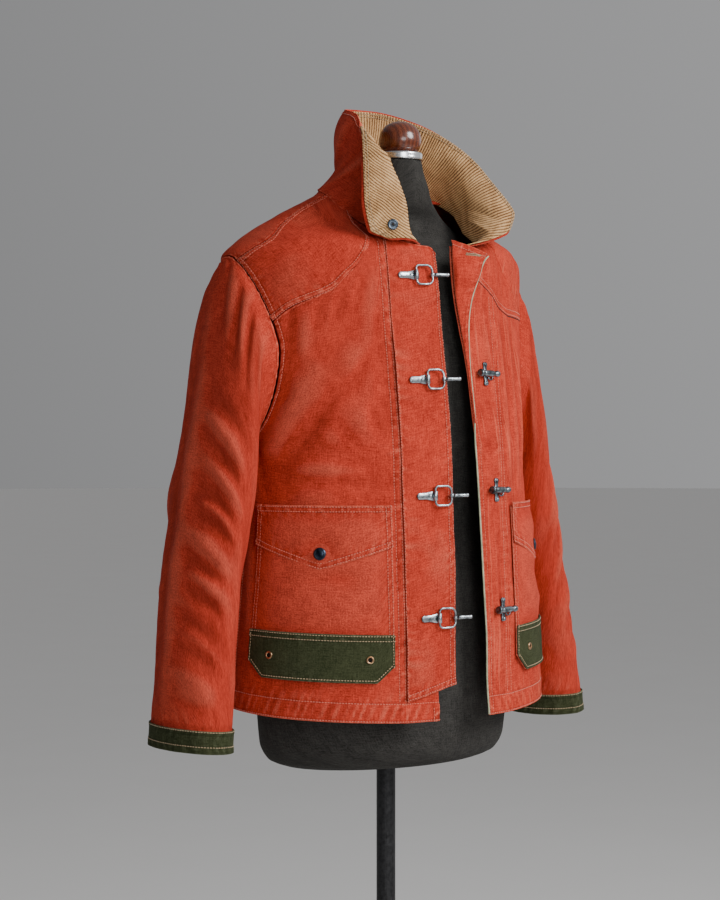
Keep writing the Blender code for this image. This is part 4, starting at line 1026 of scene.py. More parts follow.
def front_grid(side):
    """The front as (g, z), from its own edge to the side seam, and from the hem to the yoke."""
    high_share = graded(0.22, ends=(False, True))[1:]
    top = neckline(neck_angle(NECK_CORNERS[0]))
    z = np.concatenate([BODY_LOW, mix(LOW_TOP_Z, top[1], high_share)])
    share = graded(0.27)
    first = (POCKET_G[0] - SEAM_G) / (SIDE_G - SEAM_G)
    left = np.stack([np.full(len(z), SEAM_G), z], -1)
    left[-1] = top
    right = np.concatenate([side_line(BODY_LOW), armhole(mix(180.0, YOKE_PHI[0], high_share))])
    grid = mix(left[:, None], right[:, None], share[None, :, None])
    end = np.where(share[:, None] < first, mix(top, yoke_line(np.zeros(1))[0], share[:, None] / first),
                   yoke_line(np.clip((share - first) / (1 - first), 0, 1)))
    pull = np.concatenate([np.zeros(len(BODY_LOW)), high_share]) ** 1.6
    grid = grid + pull[:, None, None] * (end - grid[-1])[None]
    edge = np.full(len(z), EDGE_G) if side < 0 else left_edge(z)
    near_share = graded(SEAM_G - 0.03, ends=(True, False))[:-1]
    near_g = mix(edge[:, None], SEAM_G, near_share[None])
    near_z = np.repeat(z[:, None], len(near_share), axis=1)
    at = shell(near_g[-1], np.full(len(near_share), top[1]), 1)[0][:, 0]
    settle = np.array([neckline(neck_angle(abs(x)))[1] for x in at]) - top[1]
    near_z += settle[None] * np.clip((z - z[-1] + 0.03) / 0.03, 0, 1)[:, None]
    return np.concatenate([np.stack([near_g, near_z], -1), grid], axis=1)


def make_front(side):
    name = SIDES[side]
    grid = front_grid(side)
    g, z = grid[..., 0], grid[..., 1]
    points, outs = shell(g, z, side)
    edge = borders(points)
    hem, seam, yoke, own = (sewn(*edge[which], *rest) for which, *rest in (
        ("bottom", HEM_ROWS, 0.0009, 0.0006, 0.012, 1.0, True),
        ("right", FOLD_ROWS, 0.0006, 0.0006, 0.01, 2.0),
        ("top", SEAM_ROW, 0.0003, 0.0006, 0.0085, 3.0),
        ("left", EDGE_ROWS, 0.0006, 0.0003, 0.01, 4.0, True)))
    storm = sewn(np.abs(g - SEAM_G + 0.002), edge["left"][1], (0.0035, 0.011), 0.0006, 0.0004, 0.011, 5.0)
    storm = storm * (g > SEAM_G - 0.004) if side < 0 else storm * 0.45
    yoke = yoke * (1.0 if side < 0 else LEFT_SEAM)
    fine = hem + seam * np.where(z < LOW_TOP_Z, 0.7, 1.0) + yoke + own + storm
    wide = folds(g, z, RIGHT_FOLDS if side < 0 else LEFT_FOLDS)
    held = np.clip(np.minimum(edge["right"][0], edge["bottom"][0] * 1.4) / 0.03, 0.12, 1)
    if side < 0:
        covered = (g < SEAM_G - 0.004) & (z > STORM_FOOT_Z[1] - 0.004)
        wide = np.where(covered, np.minimum(wide, 0), wide)
        fine = np.where(covered, np.array([-0.0003, 0.0])[:, None, None], fine)
    wide += slack(g, z, 1.0 + side)
    obj, outer = cloth(f"front_{name}", points, outs, RED_ON[side], (-WALL, 0), fine, wide * held, *ON_FORM)

    def upright(at, top):
        return shell(np.full(200, at), np.linspace(HEM_Z + 0.026, top, 200), side)[0]

    paths = rows_on(outer, bottom=HEM_ROWS[::-1], right=FOLD_ROWS[1:])
    if side < 0:
        paths += [upright(SEAM_G + off, 1.462) for off in (0.0015, 0.009)]
        paths += [contour(outer, "left", EDGE_ROWS[1])[:12]]
    else:
        paths += rows_on(outer, left=EDGE_ROWS) + [upright(SEAM_G + off, 1.4) for off in (-0.004, 0.004)]
        line_g = np.linspace(YOKE_LEFT[0, 0], YOKE_LEFT[-1, 0], 200)
        line_z = through(YOKE_LEFT[:, 0], YOKE_LEFT[:, 1], line_g)
        line = {off: shell(line_g, line_z + off, side)[0] for off in (0.0, 0.0005, 0.0028, 0.009)}
        # A dark strip of painted shadow along the left yoke's seam where it shows, with two stitch rows above
        # it.
        stitches("yoke_seam_shadow_left", obj, [line[0.0], line[0.0005]], "canvas_red", "shadow", pitch=0.0014,
                 width=0.0005, lift=0.00002)
        paths += [line[0.0028], line[0.009]]
    stitches(f"front_stitches_{name}", obj, paths, "canvas_red")
    return outer


def make_yoke(side):
    name = SIDES[side]
    share, rise = graded(0.13, step=0.0032), graded(0.105, step=0.0032)
    low = yoke_line(share)
    start, stop = neckline(float(SHOULDER_T)), armhole(YOKE_PHI[1])
    high = mix(start[None], stop[None], share[:, None])
    left = neckline(mix(neck_angle(NECK_CORNERS[1]), SHOULDER_T, rise))
    right = armhole(mix(YOKE_PHI[0], YOKE_PHI[1], rise))
    v, u = rise[:, None, None], share[None, :, None]
    grid = mix(low[None], high[None], v) + mix(left[:, None], right[:, None], u) - mix(
        mix(low[0], low[-1], u), mix(high[0], high[-1], u), v)
    points, outs = shell(grid[..., 0], grid[..., 1], side)
    edge = borders(points)
    fine = sewn(*edge["bottom"], FOLD_ROWS, 0.0012, 0.0008, 0.008, 6.0) * (1.0 if side < 0 else LEFT_SEAM)
    fine += sewn(*edge["top"], FOLD_ROWS, 0.0008, 0.0005, 0.01, 7.0)
    fine += sewn(*edge["right"], FOLD_ROWS, 0.0008, 0.0006, 0.009, 8.0)
    wide = slack(grid[..., 0], grid[..., 1], 2.0 + side, 0.0008)
    obj, outer = cloth(f"yoke_{name}", points, outs, RED_ON[side], (-WALL, 0.0004), fine, wide, *ON_FORM)
    seams = {"bottom": FOLD_ROWS} if side < 0 else {}
    paths = rows_on(outer, **seams, top=FOLD_ROWS, right=FOLD_ROWS)
    stitches(f"yoke_stitches_{name}", obj, paths, "canvas_red")


def make_back():
    share = graded(0.22, ends=(False, True))
    rising = graded(0.3, ends=(False, False))[1:]
    last = graded(0.1, ends=(False, True))[1:]
    neck = neckline(180.0)
    z = np.concatenate([BODY_LOW, mix(LOW_TOP_Z, neck[1], rising)])
    left = np.concatenate([np.stack([half_girth(z), z], -1), neckline(mix(180.0, SHOULDER_T, last))])
    right = np.concatenate([side_line(BODY_LOW), armhole(mix(BACK_PHI[0], BACK_PHI[1], rising)),
                            armhole(mix(BACK_PHI[1], BACK_PHI[2], last))])
    half = mix(left[:, None], right[:, None], share[None, :, None])
    halves = [shell(half[..., 0], half[..., 1], side) for side in SIDES]
    points, outs = (np.concatenate([halves[0][k][:, :0:-1], halves[1][k]], axis=1) for k in (0, 1))
    for table in (points, outs):
        table[:len(z), len(share) - 1, 0] = 0
    edge = borders(points)
    fine = sewn(*edge["bottom"], HEM_ROWS, 0.0009, 0.0006, 0.012, 1.4, True)
    fine += beside(edge, ("left", SEAM_ROW, 0.0003, 0.0006, 0.011, 2.2),
                   ("right", SEAM_ROW, 0.0003, 0.0006, 0.01, 2.8))
    fine += sewn(*edge["top"], SEAM_ROW, 0.0003, 0.0004, 0.01, 3.3)
    across = points[..., 0]
    held = np.minimum(np.minimum(edge["right"][0], edge["left"][0]), edge["bottom"][0] * 1.4)
    wide = folds(across, points[..., 2], BACK_FOLDS) + slack(across, points[..., 2], 4.0)
    obj, outer = cloth("back_panel", points, outs, "canvas_red", (-WALL, 0), fine,
                       wide * np.clip(held / 0.035, 0.12, 1), *ON_FORM)
    stitches("back_stitches", obj, rows_on(outer, bottom=HEM_ROWS[::-1]), "canvas_red")


# ---------------------------------------------------------------- sleeves and cuffs

ARM_R, ARM_L = 0.075, 0.545  # the sleeve's mean radius and length, for its folds' table
CUFF_W = 0.0275
CUFF_ROWS = 0.0018, 0.009


def sleeve_ring(angle, side):
    """The armhole and the sleeve's rings at these angles (degrees), before they are closed up."""
    at = armhole(angle % 360)
    first, _ = shell(at[:, 0], at[:, 1], 1)
    first[:, 0] += 0.0006
    turn_at = np.radians(angle)
    rings = [first]
    for k, (ox, oz, ix, iz, y, depth) in enumerate(SLEEVE):
        out, inner = np.array([ox, y, oz]), np.array([ix, y, iz])
        mid, arm = (out + inner) / 2, (out - inner) / 2
        mid = mid + np.array([SWING[side] * min(1.0, max(0.0, (1.3 - mid[2]) / 0.25)), 0, 0])
        ring = mid + np.cos(turn_at)[:, None] * arm - np.sin(turn_at)[:, None] * np.array([0, depth, 0])
        push = np.zeros(len(angle))
        for ring_at, turn_to, reach, spread, lean, height in SLEEVE_FOLDS:
            off = (angle - turn_to + 180) % 360 - 180
            across = (k - ring_at - lean * off) / reach
            push += height * np.exp(-across ** 2) * np.exp(-(off / spread) ** 2)
        ease = min(1.0, k / 3) * min(1.0, (len(SLEEVE) - 1 - k) / 2)
        rings.append(ring + unit(ring - mid) * (push * ease)[:, None])
    return np.array(rings)


def arm_folds(along, angle, table):
    """The folds of a sleeve, whose table has angles: an angle's width on the cloth is kept."""
    metres = ARM_R * math.pi / 180
    rows = table.copy()
    rows[:, [1, 3]] *= metres
    return sum(folds(along, (angle + shift) * metres, rows) for shift in (-360, 0, 360))


def make_sleeve(side):
    name = SIDES[side]
    angle = np.linspace(-180, 180, 133)
    rings = sleeve_ring(angle, side)
    step = np.linalg.norm(np.diff(rings, axis=0), axis=2).mean(axis=1)
    run = np.concatenate([[0], np.cumsum(step)])
    share = graded(run[-1], step=0.0042, zone=0.018)
    points = through(run, rings, share * run[-1]) * np.array([side, 1, 1])
    around = np.gradient(points, axis=1)
    around[:, 0] = around[:, -1] = points[:, 1] - points[:, -2]
    outs = unit(np.cross(around, np.gradient(points, axis=0)))
    if np.sum(outs * (points - points.mean(axis=1, keepdims=True))) < 0:
        outs = -outs
    flat = unit((points[0] - points[0].mean(axis=0)) * np.array([0, 1, 1]))
    outs = unit(mix(flat[None], outs, np.clip(runs(points, 0) / 0.02, 0, 1)[..., None]))
    edge = borders(points)
    down = edge["bottom"][0]
    fine = beside(edge, ("bottom", SEAM_ROW, 0.0006, 0.0009, 0.0105, 9.0 + side),
                  ("top", (0.03,), 0.0002, 0.0005, 0.011, 10.0))
    held = np.clip(down / 0.03, 0, 1) * np.clip(edge["top"][0] / 0.06, 0.1, 1)
    measure = down / down[-1:] * ARM_L
    wide = arm_folds(measure, angle[None] + 0 * down, ARM_FOLDS[side])
    wide += slack(measure, angle[None] / 60 * ARM_R, 5.0 + side, 0.001)
    inside = np.exp(-(((angle[None] + 360) % 360 - 180) / 50) ** 2)
    wide = wide * (1 - 0.55 * inside)
    gather = 0.0012 * uneven(edge["bottom"][1], 0.021, 3.0 + side) * np.exp(-(down / 0.03) ** 2) * (
        np.clip(np.cos(np.radians(angle - 20)), 0, 1)[None] * np.clip(down / 0.004, 0, 1))
    cloth(f"sleeve_{name}", points, outs, "canvas_red", (-WALL, 0), fine, wide * held + gather, *ON_FORM,
          loop=True)
    make_cuff(side, rings)


def make_cuff(side, rings):
    name = SIDES[side]
    rings = rings[-2:] * np.array([side, 1, 1])
    share = np.concatenate([EDGE_STEPS, np.arange(0.0022, 0.0248, 0.0014),
                            CUFF_W - np.array(EDGE_STEPS)[::-1]])
    points = rings[0][None] + (rings[1] - rings[0])[None] * (share / CUFF_W * 1.06)[:, None, None]
    outs = unit((points - points.mean(axis=1, keepdims=True)) * np.array([1, 1, 0.25]))
    edge = borders(points)
    fine = beside(edge, ("bottom", (CUFF_ROWS[0], 0.005), 0.0007, 0.0004, 0.01, 11.0, True),
                  ("top", (0.0022, CUFF_ROWS[1]), 0.0008, 0.0004, 0.012, 12.0, True))
    wide = 0.0005 * uneven(edge["bottom"][1], 0.035, 2.0 + side)
    obj, outer = cloth(f"cuff_{name}", points, outs, "canvas_green", (LIFT, LIFT + TRIM_WALL), fine, wide,
                       "hung", f"sleeve_{name}", loop=True)
    stitches(f"cuff_stitches_{name}", obj, rows_on(outer, bottom=CUFF_ROWS[:1], top=CUFF_ROWS[1:]),
             "canvas_green")


# ---------------------------------------------------------------- collar

COLLAR_LENGTH, COLLAR_DEPTH, COLLAR_CORNER = 0.52, 0.1, 0.026
FOLD_DEPTH = 0.2  # the collar folds' shares are of this depth
WALE_PX, WALE_SLANT = 2.45, math.radians(36)  # as seen in the photograph, on the right end
WALE_FAN_PX, WALE_FAN_R = (360, 268), 135  # the left half's wales fan out from here
WALE_HIGH = 0.0005
FACING_ROWS = 0.003, 0.007


def collar_grid(station, v):
    """The collar's middle surface: from the neckline over the roll line to the free edge."""
    ends = [neck_angle(abs(x)) for x in COLLAR_ENDS]
    run = mix(-ends[0], -(360 - ends[1]), station)
    turn_to = np.where(run < -180, 360 + run, run)
    at = neckline(np.abs(turn_to))
    right, left = (shell(at[:, 0], at[:, 1], side)[0] for side in SIDES)
    base = np.where(turn_to[:, None] > 0, left, right)
    roll, free = (through(COLLAR[:, 0], COLLAR[:, k:k + 3], station) for k in (1, 4))
    base = base + unit(roll - base) * (0.004 * np.abs(2 * station[:, None] - 1) ** 12 - 0.0046)
    v = v[:, None, None]
    control = mix(roll, 2 * roll - (base + free) / 2, 0.75)
    return (1 - v) ** 2 * base + 2 * v * (1 - v) * control + v * v * free


def toward_neck(points, column):
    """The surface's directions to the neck's side."""
    inner = unit(np.cross(np.gradient(points, axis=0), np.gradient(points, axis=1)))
    to_neck = np.array([0, NECK_Y, 1.6]) - points[2, column]
    return -inner if np.dot(inner[2, column], to_neck) < 0 else inner


def seen(points):
    """Where points fall in the photograph, in its pixels."""
    look = np.array([-math.sin(VIEW_AZIMUTH), math.cos(VIEW_AZIMUTH), 0.0])
    right = np.array([look[1], -look[0], 0.0])
    from_axis = points - np.array([0, NECK_Y, EYE_Z])
    scale = FOCUS_PX / (VIEW_DISTANCE + from_axis @ look)
    return AXIS_PX[0] + scale * (from_axis @ right), AXIS_PX[1] - scale * from_axis[..., 2]


def rounded_ends(station, v):
    """How far the free edge is drawn in at the collar's two points, as a share of its depth."""
    near = np.minimum(station, 1 - station) * COLLAR_LENGTH
    short = np.clip(1 - near / COLLAR_CORNER, 0, 1)
    drop = (1 - np.sqrt(np.clip(1 - short ** 2, 0, 1))) * COLLAR_CORNER / COLLAR_DEPTH
    return v[:, None] * (1 - drop[None])


def collar_points(station, v):
    """The middle surface with its rounded points, and its directions to the corduroy."""
    dense = np.linspace(0, 1, 61)
    whole = collar_grid(station, dense)
    depth = rounded_ends(station, v)
    points = np.stack([through(dense, whole[:, j], depth[:, j]) for j in range(len(station))], 1)
    return points, toward_neck(points, len(station) // 2)


def collar_shape(station, v, points):
    """Folds shared by both layers, at the grid's places."""
    a = np.broadcast_to(station[None] * 1.0, points.shape[:2])
    b = np.broadcast_to(v[:, None] * FOLD_DEPTH, points.shape[:2])
    table = COLLAR_FOLDS.copy()
    table[:, [1, 3]] *= FOLD_DEPTH
    return folds(a, b, table)


def wale_phase(station, points):
    """Which wale lies at a place: straight and slanting on the right end, fanned out on the left."""
    depth = borders(points)["bottom"][0]
    x, y = seen(points)
    straight = (y * math.cos(WALE_SLANT) - x * math.sin(WALE_SLANT)) / WALE_PX
    fanned = WALE_FAN_R * np.arctan2(WALE_FAN_PX[1] - y, x - WALE_FAN_PX[0]) / WALE_PX
    middle = len(depth) // 2, int(np.argmin(np.abs(station - 0.34)))
    share = np.clip((station - 0.27) / 0.14, 0, 1)
    share = share * share * (3 - 2 * share)
    after = middle[0], middle[1] + 9
    way = np.sign((straight[after] - straight[middle]) * (fanned[after] - fanned[middle])) or 1.0
    wander = 0.2 * np.sin(90 * depth + 21 * station[None]) + 0.16 * np.sin(88 * station[None] - 60 * depth)
    return mix((straight - straight[middle]) * way, fanned - fanned[middle], share[None]) + wander


def make_collar():
    station, v = graded(COLLAR_LENGTH, step=0.003), graded(COLLAR_DEPTH, step=0.003)
    points, inner = collar_points(station, v)
    fine = beside(borders(points), ("top", (0.0025, 0.0075), 0.0006, 0.0004, 0.01, 13.0, True),
                  ("bottom", (0.003,), 0.0004, 0.0006, 0.011, 14.0))
    obj, outer = cloth("collar_outer", points, -inner, "canvas_red", (GAP / 2, GAP / 2 + WALL), fine,
                       -collar_shape(station, v, points), "draped", "front_right", "front_left")
    stitches("collar_stitches_outer", obj, rows_on(outer, top=(0.0075,)), "canvas_red")

    station, v = np.linspace(0, 1, 486), graded(COLLAR_DEPTH, step=0.00115, near=0.00105, zone=0.01)
    points, inner = collar_points(0.003 + 0.994 * station, v * 0.984)
    from_edge, along = borders(points)["top"]
    fine = sewn(from_edge, along, FACING_ROWS, 0.0008, 0.0006, 0.0042, 15.0, True)
    phase = wale_phase(station, points)
    wales = WALE_HIGH * (0.5 + 0.5 * np.cos(2 * math.pi * phase))
    wales = wales * np.clip((from_edge - 0.001) / 0.007, 0.15, 1)
    faces_at = GAP / 2, GAP / 2 + CORD_WALL - 0.0006
    obj, outer = cloth("collar_facing", points, inner, "corduroy_tan", faces_at, fine,
                       wales + collar_shape(station, v, points), "draped", "collar_outer", relief_shading=0.0,
                       wale=phase)
    paths = [line[2:-2] for line in rows_on(outer, top=FACING_ROWS)]
    stitches("collar_stitches_facing", obj, paths, "corduroy_tan", lift=0.0004)


# ---------------------------------------------------------------- storm flap and turned-out facing

FLAP_ROWS, FLAP_ROW = (0.0024, 0.0085), (0.0022,)
LID_RIM = 0.0014  # rounding of the thicker flaps' edges
STORM_CORNER, STORM_DROP = 0.011, 0.0026
BUTTONHOLE = (1.45, 0.27, 0.78)  # height, and its two ends across the facing
PIPING_R = 0.0011


def make_storm_flap():
    across, rise = graded(STORM_G[1] - STORM_G[0], step=0.0035), graded(0.56)
    g = mix(STORM_G[0], STORM_G[1], across)
    foot = mix(STORM_FOOT_Z[0], STORM_FOOT_Z[1], across)
    head = np.array([neckline(neck_angle(abs(x)))[1] for x in g]) - STORM_DROP
    near = np.clip(1 - (g - g[0]) / STORM_CORNER, 0, 1)
    head -= STORM_CORNER * (1 - np.sqrt(1 - near ** 2))
    z = mix(foot[None], head[None], rise[:, None])
    gg = np.repeat(g[None], len(rise), axis=0)
    points, outs = shell(gg, z, -1)
    edge = borders(points)
    fine = beside(edge, ("left", FLAP_ROWS, 0.001, 0.0006, 0.0105, 16.0, True),
                  ("bottom", FLAP_ROWS, 0.001, 0.0003, 0.01, 17.0, True),
                  ("top", FLAP_ROWS[:1], 0.0005, 0.0003, 0.01, 18.0, True),
                  ("right", FLAP_ROW, 0.0008, 0.0007, 0.0115, 19.0))
    wide = slack(gg * 1.3, z, 6.0, 0.0009)
    clasp = [np.hypot((gg - at - 0.004) / 0.03, (z - c) / 0.02) for at, c in zip(CLASP_G, CLASP_Z)]
    wide = wide * np.clip(np.min(clasp, axis=0) - 0.6, 0, 1)
    for c in CLASP_Z:
        wide -= 0.0005 * np.exp(-((z - c) / 0.006) ** 2) * np.exp(-((gg - 0.056) / 0.012) ** 2)
    from_seam, along = edge["right"]
    ripple = uneven(along + 0.3 * from_seam, 0.015, 19.0) * np.exp(-(from_seam / 0.02) ** 2)
    # Puckers along the seam: their ridges rubbed pale, painted shade in their troughs.
    fine += np.array([0.0006, 0.16])[:, None, None] * ripple
    obj, outer = cloth("storm_flap", points, outs, "canvas_red", (LIFT, LIFT + FLAP_WALL - 0.0006), fine,
                       wide, "laid", "front_right", rim=LID_RIM)
    paths = rows_on(outer, left=FLAP_ROWS, bottom=FLAP_ROWS, right=FLAP_ROW)
    stitches("storm_flap_stitches", obj, paths, "canvas_red")


def facing_points(z, u):
    width = through(FACING[:, 0], FACING[:, 1], z)[:, None]
    level_z = np.repeat(z[:, None], len(u), axis=1)
    fall = np.clip((z - z[-1] + 0.016) / 0.016, 0, 1)[:, None]
    level_z = level_z - FACING_FALL * u[None] * fall
    points, outs = shell(left_edge(z)[:, None] + width * u[None], level_z, 1)
    roll = np.sin(math.pi * (0.1 + 0.66 * u[None])) * np.minimum(1, width / 0.012)
    above = (level_z - CLASP_Z[-1] - HOOK_UP[-1]) / 0.02
    over = FACING_OVER * np.exp(-above ** 2) * np.minimum(1, u[None] / 0.06)
    return points + outs * (0.0012 + (0.001 + 0.2 * width) * roll + over)[..., None], outs


def make_facing():
    z = mix(FACING[0, 0], FACING_TOP_Z, graded(0.229, step=0.003))
    u = graded(0.05, step=0.0028, zone=0.01)
    points, outs = facing_points(z, u)
    edge = borders(points)
    fine = beside(edge, ("right", (0.0022, 0.008), 0.0007, 0.0003, 0.01, 20.0, True),
                  ("top", (0.0022, 0.0075), 0.0007, 0.0003, 0.01, 21.0, True))
    fine = fine * np.clip(edge["right"][0][:, :1] / 0.012, 0, 1)
    obj, outer = cloth("front_facing_left", points, outs, "canvas_red", (0.0, WALL), fine, 0.0, "laid",
                       "front_left")
    paths = [contour(outer, "right", 0.0078)[40:], contour(outer, "top", 0.0075)]
    stitches("facing_stitches", obj, paths, "canvas_red")
    row, slit = int(np.argmin(np.abs(z - BUTTONHOLE[0]))), (u > BUTTONHOLE[1]) & (u < BUTTONHOLE[2])
    middle, up = outer[row, slit], unit(outer[row + 1, slit] - outer[row - 1, slit])
    stitches("buttonhole_thread", obj, [middle + up * 0.0011 * way for way in (-1, 1)], "canvas_red",
             "thread_tan", pitch=0.0011, width=0.0006, lift=0.0003)
    # A dark line of painted shadow in the buttonhole's slit.
    stitches("buttonhole_slit_shadow", obj, [middle], "canvas_red", "shadow", pitch=0.0016, width=0.0003,
             lift=0.0002)
    return outer[:, -1]


def make_piping(front, facing_edge):
    """A thin rounded edging down the left front's free edge and the turned-out facing's."""
    low = front[:, 0][front[:, 0, 2] < facing_edge[0, 2] - 0.006]
    line = resample(np.concatenate([low, facing_edge]), 0.002)
    for _ in range(60):
        line[1:-1] += 0.25 * (line[2:] + line[:-2] - 2 * line[1:-1])
    along = unit(np.gradient(line, axis=0))
    side = unit(np.cross(along, np.array([0.0, -1.0, 0.0])))
    out = np.cross(side, along)
    around = np.stack(circle(line, side, out, PIPING_R, 8), axis=1)
    hard("edge_piping", tube(around, closed=False), "edge_tape", detail=True)


# ---------------------------------------------------------------- pockets

PATCH_HIGH = 2 * LIFT + WALL
POCKET_MIDDLE, POCKET_HALF = (POCKET_G[0] + POCKET_G[1]) / 2, (POCKET_G[1] - POCKET_G[0]) / 2
POCKET_RELIEF_SHADING = 0.08  # less painted light and shade from the pockets' relief
BULGE = 0.003  # how far the pocket and its flap stand out
POCKET_ROWS, LID_ROWS = (0.002, 0.008), (0.0022, 0.008)
PATCH_ROW, PATCH_TOP_ROWS = (0.003,), (0.0025, 0.0085)
PATCH_FACES = PATCH_HIGH, PATCH_HIGH + TRIM_WALL
SNAP_CAP = ((0.95, 0), (1, 0.0003), (0.99, 0.0012), (0.82, 0.0024), (0.66, 0.0021), (0.55, 0.0026),
            (0.25, 0.0031))  # share of the snap's radius, height
POCKET_FOLDS = np.array((
    # g, z, g, z, half width, height, bow, in mm
    (120, 1045, 235, 1030, 10, -1.6, 4), (150, 1008, 262, 1000, 9, 1.4, -3),
    (112, 1000, 150, 1055, 8, 1.2, 3), (225, 1060, 262, 1000, 9, -1.4, 4),
)) / 1000


def plot(side, g, z):
    """Points and outward directions on a front, for something drawn on it at (g, z)."""
    return shell(*on_front(g, z), side)


def pocket_foot(g):
    """Height of the pocket's foot, with its cut corners."""
    inner, outer = g - POCKET_G[0], POCKET_G[1] - g
    return POCKET_Z[0] + np.clip(POCKET_CUT - inner, 0, None) + np.clip(POCKET_CUT - outer, 0, None)


def at_corners(g, there, between):
    """One value over the foot's cut corners and another between them."""
    return np.where((g < POCKET_G[0] + POCKET_CUT) | (g > POCKET_G[1] - POCKET_CUT), there, between)


def flap_foot(g):
    share = 1 - np.abs(g - POCKET_G[0] - POCKET_HALF) / POCKET_HALF
    soft = 1 - np.sqrt((1 - share) ** 2 + 0.0016) + 0.04 * (1 - share)
    return FLAP_SIDE_Z + (FLAP_TIP_Z - FLAP_SIDE_Z) * np.clip(soft, 0, 1)


def patch_grid(side, low, high, rows):
    """Grid places, points and outward directions of a piece as wide as the pocket."""
    g = mix(POCKET_G[0], POCKET_G[1], graded(POCKET_G[1] - POCKET_G[0], step=0.004))
    z = mix(low(g)[None], high, rows[:, None])
    gg = np.repeat(g[None], len(rows), axis=0)
    return gg, z, *plot(side, gg, z)


def on_slant(edge, slant, *rest):
    return sewn(edge["bottom"][0] * slant, edge["bottom"][1], *rest)


def make_pocket(side):
    name = SIDES[side]
    gg, z, points, outs = patch_grid(side, pocket_foot, POCKET_Z[1], graded(0.21, step=0.004))
    edge = borders(points)
    slant = at_corners(gg, 0.707, 1.0)
    fine = beside(edge, ("left", POCKET_ROWS, 0.0008, 0.0005, 0.01, 22.0, True),
                  ("right", POCKET_ROWS, 0.0008, 0.0005, 0.011, 23.0, True))
    fine += on_slant(edge, slant, POCKET_ROWS[:1], 0.0006, 0.0003, 0.01, 24.0, True)
    middle = np.clip(np.minimum(edge["left"][0], edge["right"][0]) / 0.03, 0, 1)
    level_share = np.clip((z - PATCH_TOP_Z) / 0.03, 0, 1) * np.clip((POCKET_Z[1] - z) / 0.03, 0, 1)
    bulge = BULGE * middle * level_share
    lift = bulge + (folds(gg, z, POCKET_FOLDS) + slack(gg, z, 7.0 + side)) * middle * (z > PATCH_TOP_Z)
    obj, outer = cloth(f"pocket_{name}", points, outs, "canvas_red", (LIFT, LIFT + WALL - 0.0004), fine,
                       lift, "laid", f"front_{name}", relief_shading=POCKET_RELIEF_SHADING)
    paths = rows_on(outer, left=POCKET_ROWS, right=POCKET_ROWS)
    stitches(f"pocket_stitches_{name}", obj, paths, "canvas_red")

    gg, z, points, outs = patch_grid(side, pocket_foot, PATCH_TOP_Z, graded(0.06, step=0.003))
    edge = borders(points)
    fine = beside(edge, ("left", PATCH_ROW, 0.0006, 0.0004, 0.01, 25.0, True),
                  ("right", PATCH_ROW, 0.0006, 0.0004, 0.011, 26.0, True))
    fine += on_slant(edge, at_corners(gg, 0.707, 1.0), PATCH_ROW, 0.0006, 0.0004, 0.009, 27.0, True)
    fine += sewn(*edge["top"], PATCH_TOP_ROWS, 0.0007, 0.0004, 0.011, 28.0, True)
    obj, outer = cloth(f"pocket_patch_{name}", points, outs, "canvas_green", PATCH_FACES, fine,
                       0.4 * slack(gg, z, 8.0 + side), "laid", f"pocket_{name}")
    foot = mix(POCKET_G[0] + PATCH_ROW[0], POCKET_G[1] - PATCH_ROW[0], np.linspace(0, 1, 80))
    low, up = pocket_foot(foot), PATCH_ROW[0] * at_corners(foot, 1.4, 1.0)
    paths = rows_on(outer, left=PATCH_ROW, right=PATCH_ROW)
    paths += [plot(side, foot, low + up)[0] + plot(side, foot, low)[1] * (PATCH_HIGH + 0.0015)]
    paths += rows_on(outer, top=PATCH_TOP_ROWS)
    stitches(f"pocket_patch_stitches_{name}", obj, paths, "canvas_green")
    make_flap(side)


def make_flap(side):
    name = SIDES[side]
    gg, z, points, outs = patch_grid(side, flap_foot, POCKET_Z[1] + FLAP_TOP, graded(0.07, step=0.003))
    edge = borders(points)
    fine = beside(edge, ("left", LID_ROWS, 0.0008, 0.0005, 0.01, 29.0, True),
                  ("right", LID_ROWS, 0.0008, 0.0005, 0.011, 30.0, True),
                  ("bottom", LID_ROWS, 0.001, 0.0005, 0.0105, 31.0, True),
                  ("top", LID_ROWS, 0.0009, 0.0005, 0.0115, 32.0, True))
    middle = np.clip(np.minimum(edge["left"][0], edge["right"][0]) / 0.03, 0, 1)
    snap = np.hypot(gg - POCKET_MIDDLE, z - FLAP_TIP_Z - SNAP_UP)
    away = np.clip((snap - 0.01) / 0.02, 0, 1)
    lift = BULGE * middle * hump((POCKET_Z[1] - z) / 0.075) * away
    lift += slack(gg, z, 9.0 + side, 0.0008) * middle * away
    fine = fine * np.stack([np.clip((snap - 0.006) / 0.006, 0, 1), np.ones(snap.shape)])
    obj, outer = cloth(f"pocket_flap_{name}", points, outs, "canvas_red", PATCH_FACES, fine, lift, "laid",
                       f"pocket_{name}", rim=LID_RIM, relief_shading=POCKET_RELIEF_SHADING)
    paths = rows_on(outer, left=LID_ROWS, right=LID_ROWS, bottom=LID_ROWS, top=LID_ROWS)
    stitches(f"pocket_flap_stitches_{name}", obj, paths, "canvas_red")


